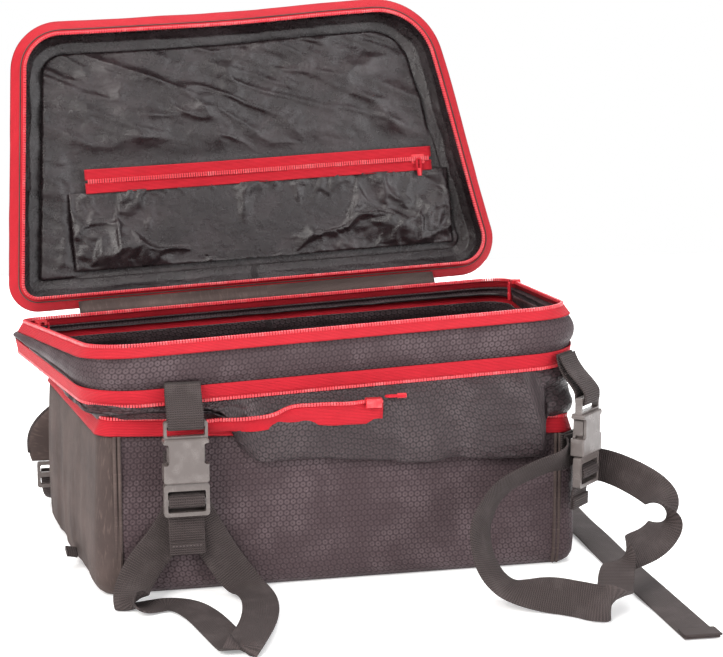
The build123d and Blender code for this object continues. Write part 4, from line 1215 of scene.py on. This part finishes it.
def buckle_frame(origin, turn):
    a = math.radians(turn)
    along = np.array([math.cos(a), math.sin(a), 0])
    return np.array(origin, float), along, np.array([along[1], -along[0], 0])


FRAMES = {"left": buckle_frame((-116, -135, 106), 0), "right": buckle_frame((182.5, -128.5, 108), 44)}
TOP_LOOP_START = {"left": (-12.3, 47), "right": (-19.4, 52)}
BAR_WRAP = [
    (-4.4, 27), (-3.9, 21), (-3.6, 17.9), (-2.2, 16.2), (2.2, 16.2), (3.6, 17.9), (3.9, 21), (3.4, 27),
]
LADDER_ROUTE = [
    (-4.3, -24), (-4.3, -26.5), (-3.6, -29.6), (2.6, -31.4), (4.0, -33.2), (4.0, -36.8),
    (2.6, -38.6), (-3.6, -40.4), (-4.3, -43.4),
]
TAIL_END = {
    "left": [(-4.2, -46.8), (-2.4, -52), (-0.9, -60), (-0.9, -73.5)],
    "right": [(-4.3, -46.8), (-5.0, -50), (-5.6, -53), (-5.6, -63)],
}


def framed(side, route, shift=0.0):
    """A strap route given as (out, up) in a buckle's own frame."""
    origin, along, out = FRAMES[side]
    half = tuple(along * WEBBING / 2)
    return [(tuple(origin + along * shift + out * o + np.array([0, 0, u])), half) for o, u in route]


TACK_PLACES = np.linspace(-11, 11, 12)


def across_strap(side, out_by, height):
    """Places of the stitches of one row across a strap."""
    origin, along, out = FRAMES[side]
    return [origin + along * w + out * out_by + np.array([0, 0, height]) for w in TACK_PLACES]


for side in ("left", "right"):
    o, u = TOP_LOOP_START[side]
    loop_route = [(o, u), (o + 0.6, u - 10), *BAR_WRAP, (o + 5.2, u - 9), (o + 2.2, u - 0.5)]
    loop, line, _ = webbing(f"strap_top_{side}", framed(side, loop_route), "upper", steps=8)
    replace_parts(loop, f"strap_top_loop_{side}")
    out = FRAMES[side][2]
    for row in (u - 14, u - 16.5):
        ends = across_strap(side, o + 5.6 + (u - row - 9) * 0.16, row)
        stitches(f"strap_tack_{side}_{int(row)}", ends, [out] * 12, "upper", 2.2, 1.8, 0.4)
    male = f"buckle_{side}"
    tail_route = LADDER_ROUTE + TAIL_END[side]
    tail, _, _ = webbing(f"strap_end_{side}", framed(side, tail_route), male, steps=8)
    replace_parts(tail, f"strap_tail_{side}")
    o, u = TAIL_END[side][-1]
    fold_route = framed(side, [(o + 1.7, u + up) for up in (9, 4, 0.2)])
    fold, _, _ = webbing(f"strap_fold_{side}", fold_route, male)
    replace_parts(fold, f"strap_hem_{side}")
    place = across_strap(side, o + 2.6, u + 6.5)
    stitches(f"strap_fold_thread_{side}", place, [out] * 12, male, 2.4, 1.8, 0.35)

ANCHORS = {
    "left": [((-116, -120.6, 104), (14, 0, 0)), ((-116, -120.9, 88), (14, 0, 0))],
    "right": [((172.6, -118.3, 101), (9.1, 8.8, 0)), ((172.6, -118.4, 88), (9.1, 8.8, 0))],
}
for side, ends in ANCHORS.items():
    start, stop = ends
    middle = (tuple((np.array(start[0]) + stop[0]) / 2), start[1])
    patch, _, _ = webbing(f"strap_patch_{side}", [start, middle, stop], "base", thickness=1.8, cup=-0.6)
    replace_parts(patch, f"strap_anchor_{side}")

# ---------------------------------------------------------------- back harness, handles and tabs

SHOULDER_LEFT = [
    ((-46, 128, 80), (0, 0, 16)), ((-98, 128.4, 86), (-1, 0, 20)), ((-142, 128.6, 84), (-7, 0, 22)),
    ((-176, 128.4, 72), (-17, 0, 17)), ((-190, 128.2, 56), (-24, 0, 5)), ((-187, 128, 42), (-20, 0, 0)),
]
SHOULDER_RIGHT = [
    ((46, 128, 80), (0, 0, 16)), ((92, 128.4, 84), (1, 0, 20)), ((132, 128.6, 82), (7, 0, 21)),
    ((160, 128.4, 70), (17, 0, 16)), ((172, 128.2, 56), (23, 0, 5)), ((172, 128, 42), (20, 0, 0)),
]
GRAB_HANDLE = [
    ((182.4, -84, 62), (0, 0, 12.7)), ((189, -78, 60), (0, 0, 12.7)), ((200, -64, 50), (1, 0, 12.6)),
    ((206, -44, 40), (2, 0, 12.5)), ((208, -12, 34), (2, 0, 12.5)), ((208.5, 18, 36), (2, 0, 12.5)),
    ((205, 44, 46), (1, 0, 12.6)), ((199.5, 58, 58), (0, 0, 12.7)), ((194.8, 64, 62), (0, 0, 12.7)),
]
LASH_TAB = [((-185.4, -40, 11), (0, 10, 0)), ((-189, -40, 12), (0, 10, 0)), ((-193, -40, 12.5), (0, 10, 0))]
HAUL_LOOP = [
    ((-30, 116, 100), (0, 0, 8)), ((-27, 121, 98), (0, 0, 8)), ((-16, 130, 94), (0, 1, 8)),
    ((0, 133, 92), (0, 1.4, 8)), ((16, 130, 94), (0, 1, 8)), ((27, 121, 98), (0, 0, 8)),
    ((30, 116, 100), (0, 0, 8)),
]


def foam_strap(name, route, thickness):
    """A padded strap with bound edges."""
    centre = nurbs_line([c for c, h in route], 12)
    half = nurbs_line([h for c, h in route], 12)
    run = run_along(centre)
    end = seam_profile(run / run[-1], 10, 0.3)
    wide = np.linalg.norm(half, axis=1)
    sides = 28
    angles = np.arange(sides) * 2 * math.pi / sides
    round_u = np.sign(np.cos(angles)) * np.abs(np.cos(angles)) ** 0.55
    round_v = np.sign(np.sin(angles)) * np.abs(np.sin(angles)) ** 0.75
    points = centre[:, None] + half[:, None] * round_u[None, :, None]
    points[..., 1] += round_v[None] * end[:, None] * thickness / 2
    over = round_u[None] * wide[:, None] + np.where(round_v < 0, 80, 0)[None]
    uv = np.stack([np.repeat(run[:, None], sides, 1), over], 2)
    faces = tube_faces(len(run), sides)
    piece = mesh_piece(name, points, faces, PLAIN, "base", uv)
    edges = []
    for side, sign in (("upper", 1), ("lower", -1)):
        line = centre + half * sign * 0.985
        edges.append(tube(f"{name}_binding_{side}", line[::4], 1.7, STRAP, "base"))
    return [piece, *edges]


for side, route in (("left", SHOULDER_LEFT), ("right", SHOULDER_RIGHT)):
    for piece in foam_strap(f"shoulder_foam_{side}", route, 8):
        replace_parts(piece, f"shoulder_strap_{side}")


def pillow(name, half_x, low, high, near, far, radius, puff, material, body):
    """A sewn pad standing against the back wall, thick in the middle."""
    rows, columns = 31, 61
    s, t = np.meshgrid(np.linspace(-1, 1, columns), np.linspace(-1, 1, rows))
    half_z = (high - low) / 2
    x = s * half_x
    z = t * half_z
    over_x = np.clip(np.abs(x) - (half_x - radius), 0, None)
    over_z = np.clip(np.abs(z) - (half_z - radius), 0, None)
    reach = np.maximum(np.hypot(over_x, over_z), 1e-6)
    pull = np.where((over_x > 0) & (over_z > 0), np.minimum(1, radius / reach), 1)
    x = np.where((over_x > 0) & (over_z > 0), np.sign(x) * (half_x - radius + over_x * pull), x)
    z = np.where((over_x > 0) & (over_z > 0), np.sign(z) * (half_z - radius + over_z * pull), z)
    share = ((1 - s**6) * (1 - t**6)) ** 0.5
    channels = 1 - 0.3 * np.exp(-((np.abs(t) - 0.36) / 0.07) ** 2)
    outer = np.stack([x, far - (far - near) * (1 - share * channels) * puff, z + low + half_z], 2)
    inner = np.stack([x, np.full(x.shape, near), z + low + half_z], 2)
    points = np.concatenate([outer.reshape(-1, 3), inner.reshape(-1, 3)])
    faces = [face[::-1] for face in grid_faces(rows, columns)]
    faces += grid_faces(rows, columns, start=rows * columns)
    rim = rim_order(rows, columns)
    shift = rows * columns
    faces += [(a, b, b + shift, a + shift) for a, b in zip(rim, rim[1:] + rim[:1])]
    uv = np.stack([x, z], 2).reshape(-1, 2)
    return mesh_piece(name, points, faces, material, body, np.concatenate([uv, uv]))


pad = pillow("back_pad_foam", 125, 10, 82, 114.8, 122.6, 16, 0.7, PLAIN, "base")
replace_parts(pad, "back_pad")
for name, route, node, thickness in (
    ("grab_handle_webbing", GRAB_HANDLE, "grab_handle", 3.0),
    ("lash_tab_webbing", LASH_TAB, "lash_tab", 2.8),
    ("haul_loop_webbing", HAUL_LOOP, "haul_loop", 2.2),
):
    piece, _, _ = webbing(name, route, "base", thickness=thickness)
    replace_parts(piece, node)

# ---------------------------------------------------------------- floor of the bag


def floor_sheet(name, level, inset, thickness, material, node, dip=0.0):
    points, _, _ = ring_row(level, BASE, inset)
    centre = points.mean(0)
    inward = (0, 0.02, 0.12, 0.25, 0.38, 0.5, 0.62, 0.75, 0.87, 0.98)
    spread = np.array([points + (centre - points) * t for t in inward])
    upper = spread + level.normal * (thickness + dip * field(spread, 60, 2.0))[..., None]
    grid = np.concatenate([upper, spread[::-1]])
    count = grid.shape[1]
    faces = grid_faces(len(grid), count, wrap_columns=True, wrap_rows=True)
    piece = mesh_piece(name, grid, faces, material, "base", grid[..., :2])
    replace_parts(piece, node)
    return piece


floor_sheet("floor_cloth", FLOOR, 10.3, 2.5, PLAIN, "floor_panel")
floor_sheet("base_liner_floor", FLOOR.moved(5.8), 8.4, 0.8, LINING, "base_liner", dip=0.5)

# ---------------------------------------------------------------- pulls


def pull_cord(node):
    """A doubled cord with a moulded end, in the place of the CAD's pull."""
    source = frame["nodes"][node]
    count = len(source.data.vertices)
    flat = np.zeros(count * 3)
    source.data.vertices.foreach_get("co", flat)
    points = flat.reshape(-1, 3) / MM
    centre = (points.min(0) + points.max(0)) / 2
    _, _, axes = np.linalg.svd(points - points.mean(0), full_matrices=False)
    body = node
    pivot = next(np.array(j["pos_m"]) / MM for j in frame["joints"] if j["child"] == body)
    along = axes[0] * (1 if (centre - pivot) @ axes[0] > 0 else -1)
    across = axes[1]
    reach = np.ptp((points - centre) @ along) / 2
    wide = np.ptp((points - centre) @ across) / 2
    line = [
        centre + along * a * reach + across * c * wide
        for a, c in (
            (0.9, 0.35), (0.4, 0.5), (-0.3, 0.62), (-0.8, 0.55), (-0.93, 0.0),
            (-0.8, -0.55), (-0.3, -0.62), (0.4, -0.5), (0.9, -0.35),
        )
    ]
    loop = tube(f"{node}_cord", line, 0.85, RED_CORD, body)
    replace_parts(loop, node)
    tip = [centre + along * a * reach for a in (0.15, 0.4, 0.7, 0.97)]
    end = tube(f"{node}_end", tip, wide * 0.62, RED_METAL, body)
    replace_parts(end, node)


for node in ("lid_pull_left", "lid_pull_right", "pocket_pull", "expansion_pull"):
    pull_cord(node)

# ---------------------------------------------------------------- hard pieces kept from the CAD

HARD = {
    PLASTIC: [f"{part}_{side}" for part in ("buckle_female", "buckle_male", "adjuster") for side in FRAMES],
    RED_METAL: ["lid_slider_left", "lid_slider_right", "pocket_slider", "expansion_slider"],
    BOARD: ["base_board"],
}
for material, nodes in HARD.items():
    for node in nodes:
        piece = frame["nodes"][node]
        piece.data.materials.clear()
        piece.data.materials.append(material)

# ---------------------------------------------------------------- floor and finish

ground = bpy.data.meshes.new("studio_floor")
corners = [(x, y, -0.0006) for x, y in ((-2.4, -2.4), (2.4, -2.4), (2.4, 1.6), (-2.4, 1.6))]
ground.from_pydata(corners, [], [(0, 1, 2, 3)])
studio = Nodes("studio_floor", (0.93, 0.93, 0.93), 0.9, specular=0.1)
cloudy = studio.noise(studio.place(), 3, 3)
studio.colour(studio.mix(studio.ramp(cloudy, 0.3, 0.7), (0.93, 0.93, 0.93), (0.95, 0.95, 0.95)))
studio.shader.inputs["Emission Color"].default_value = (1, 1, 1, 1)
studio.shader.inputs["Emission Strength"].default_value = 0.3
ground.materials.append(studio.material)
studio_floor = bpy.data.objects.new("studio_floor", ground)
scene.collection.objects.link(studio_floor)
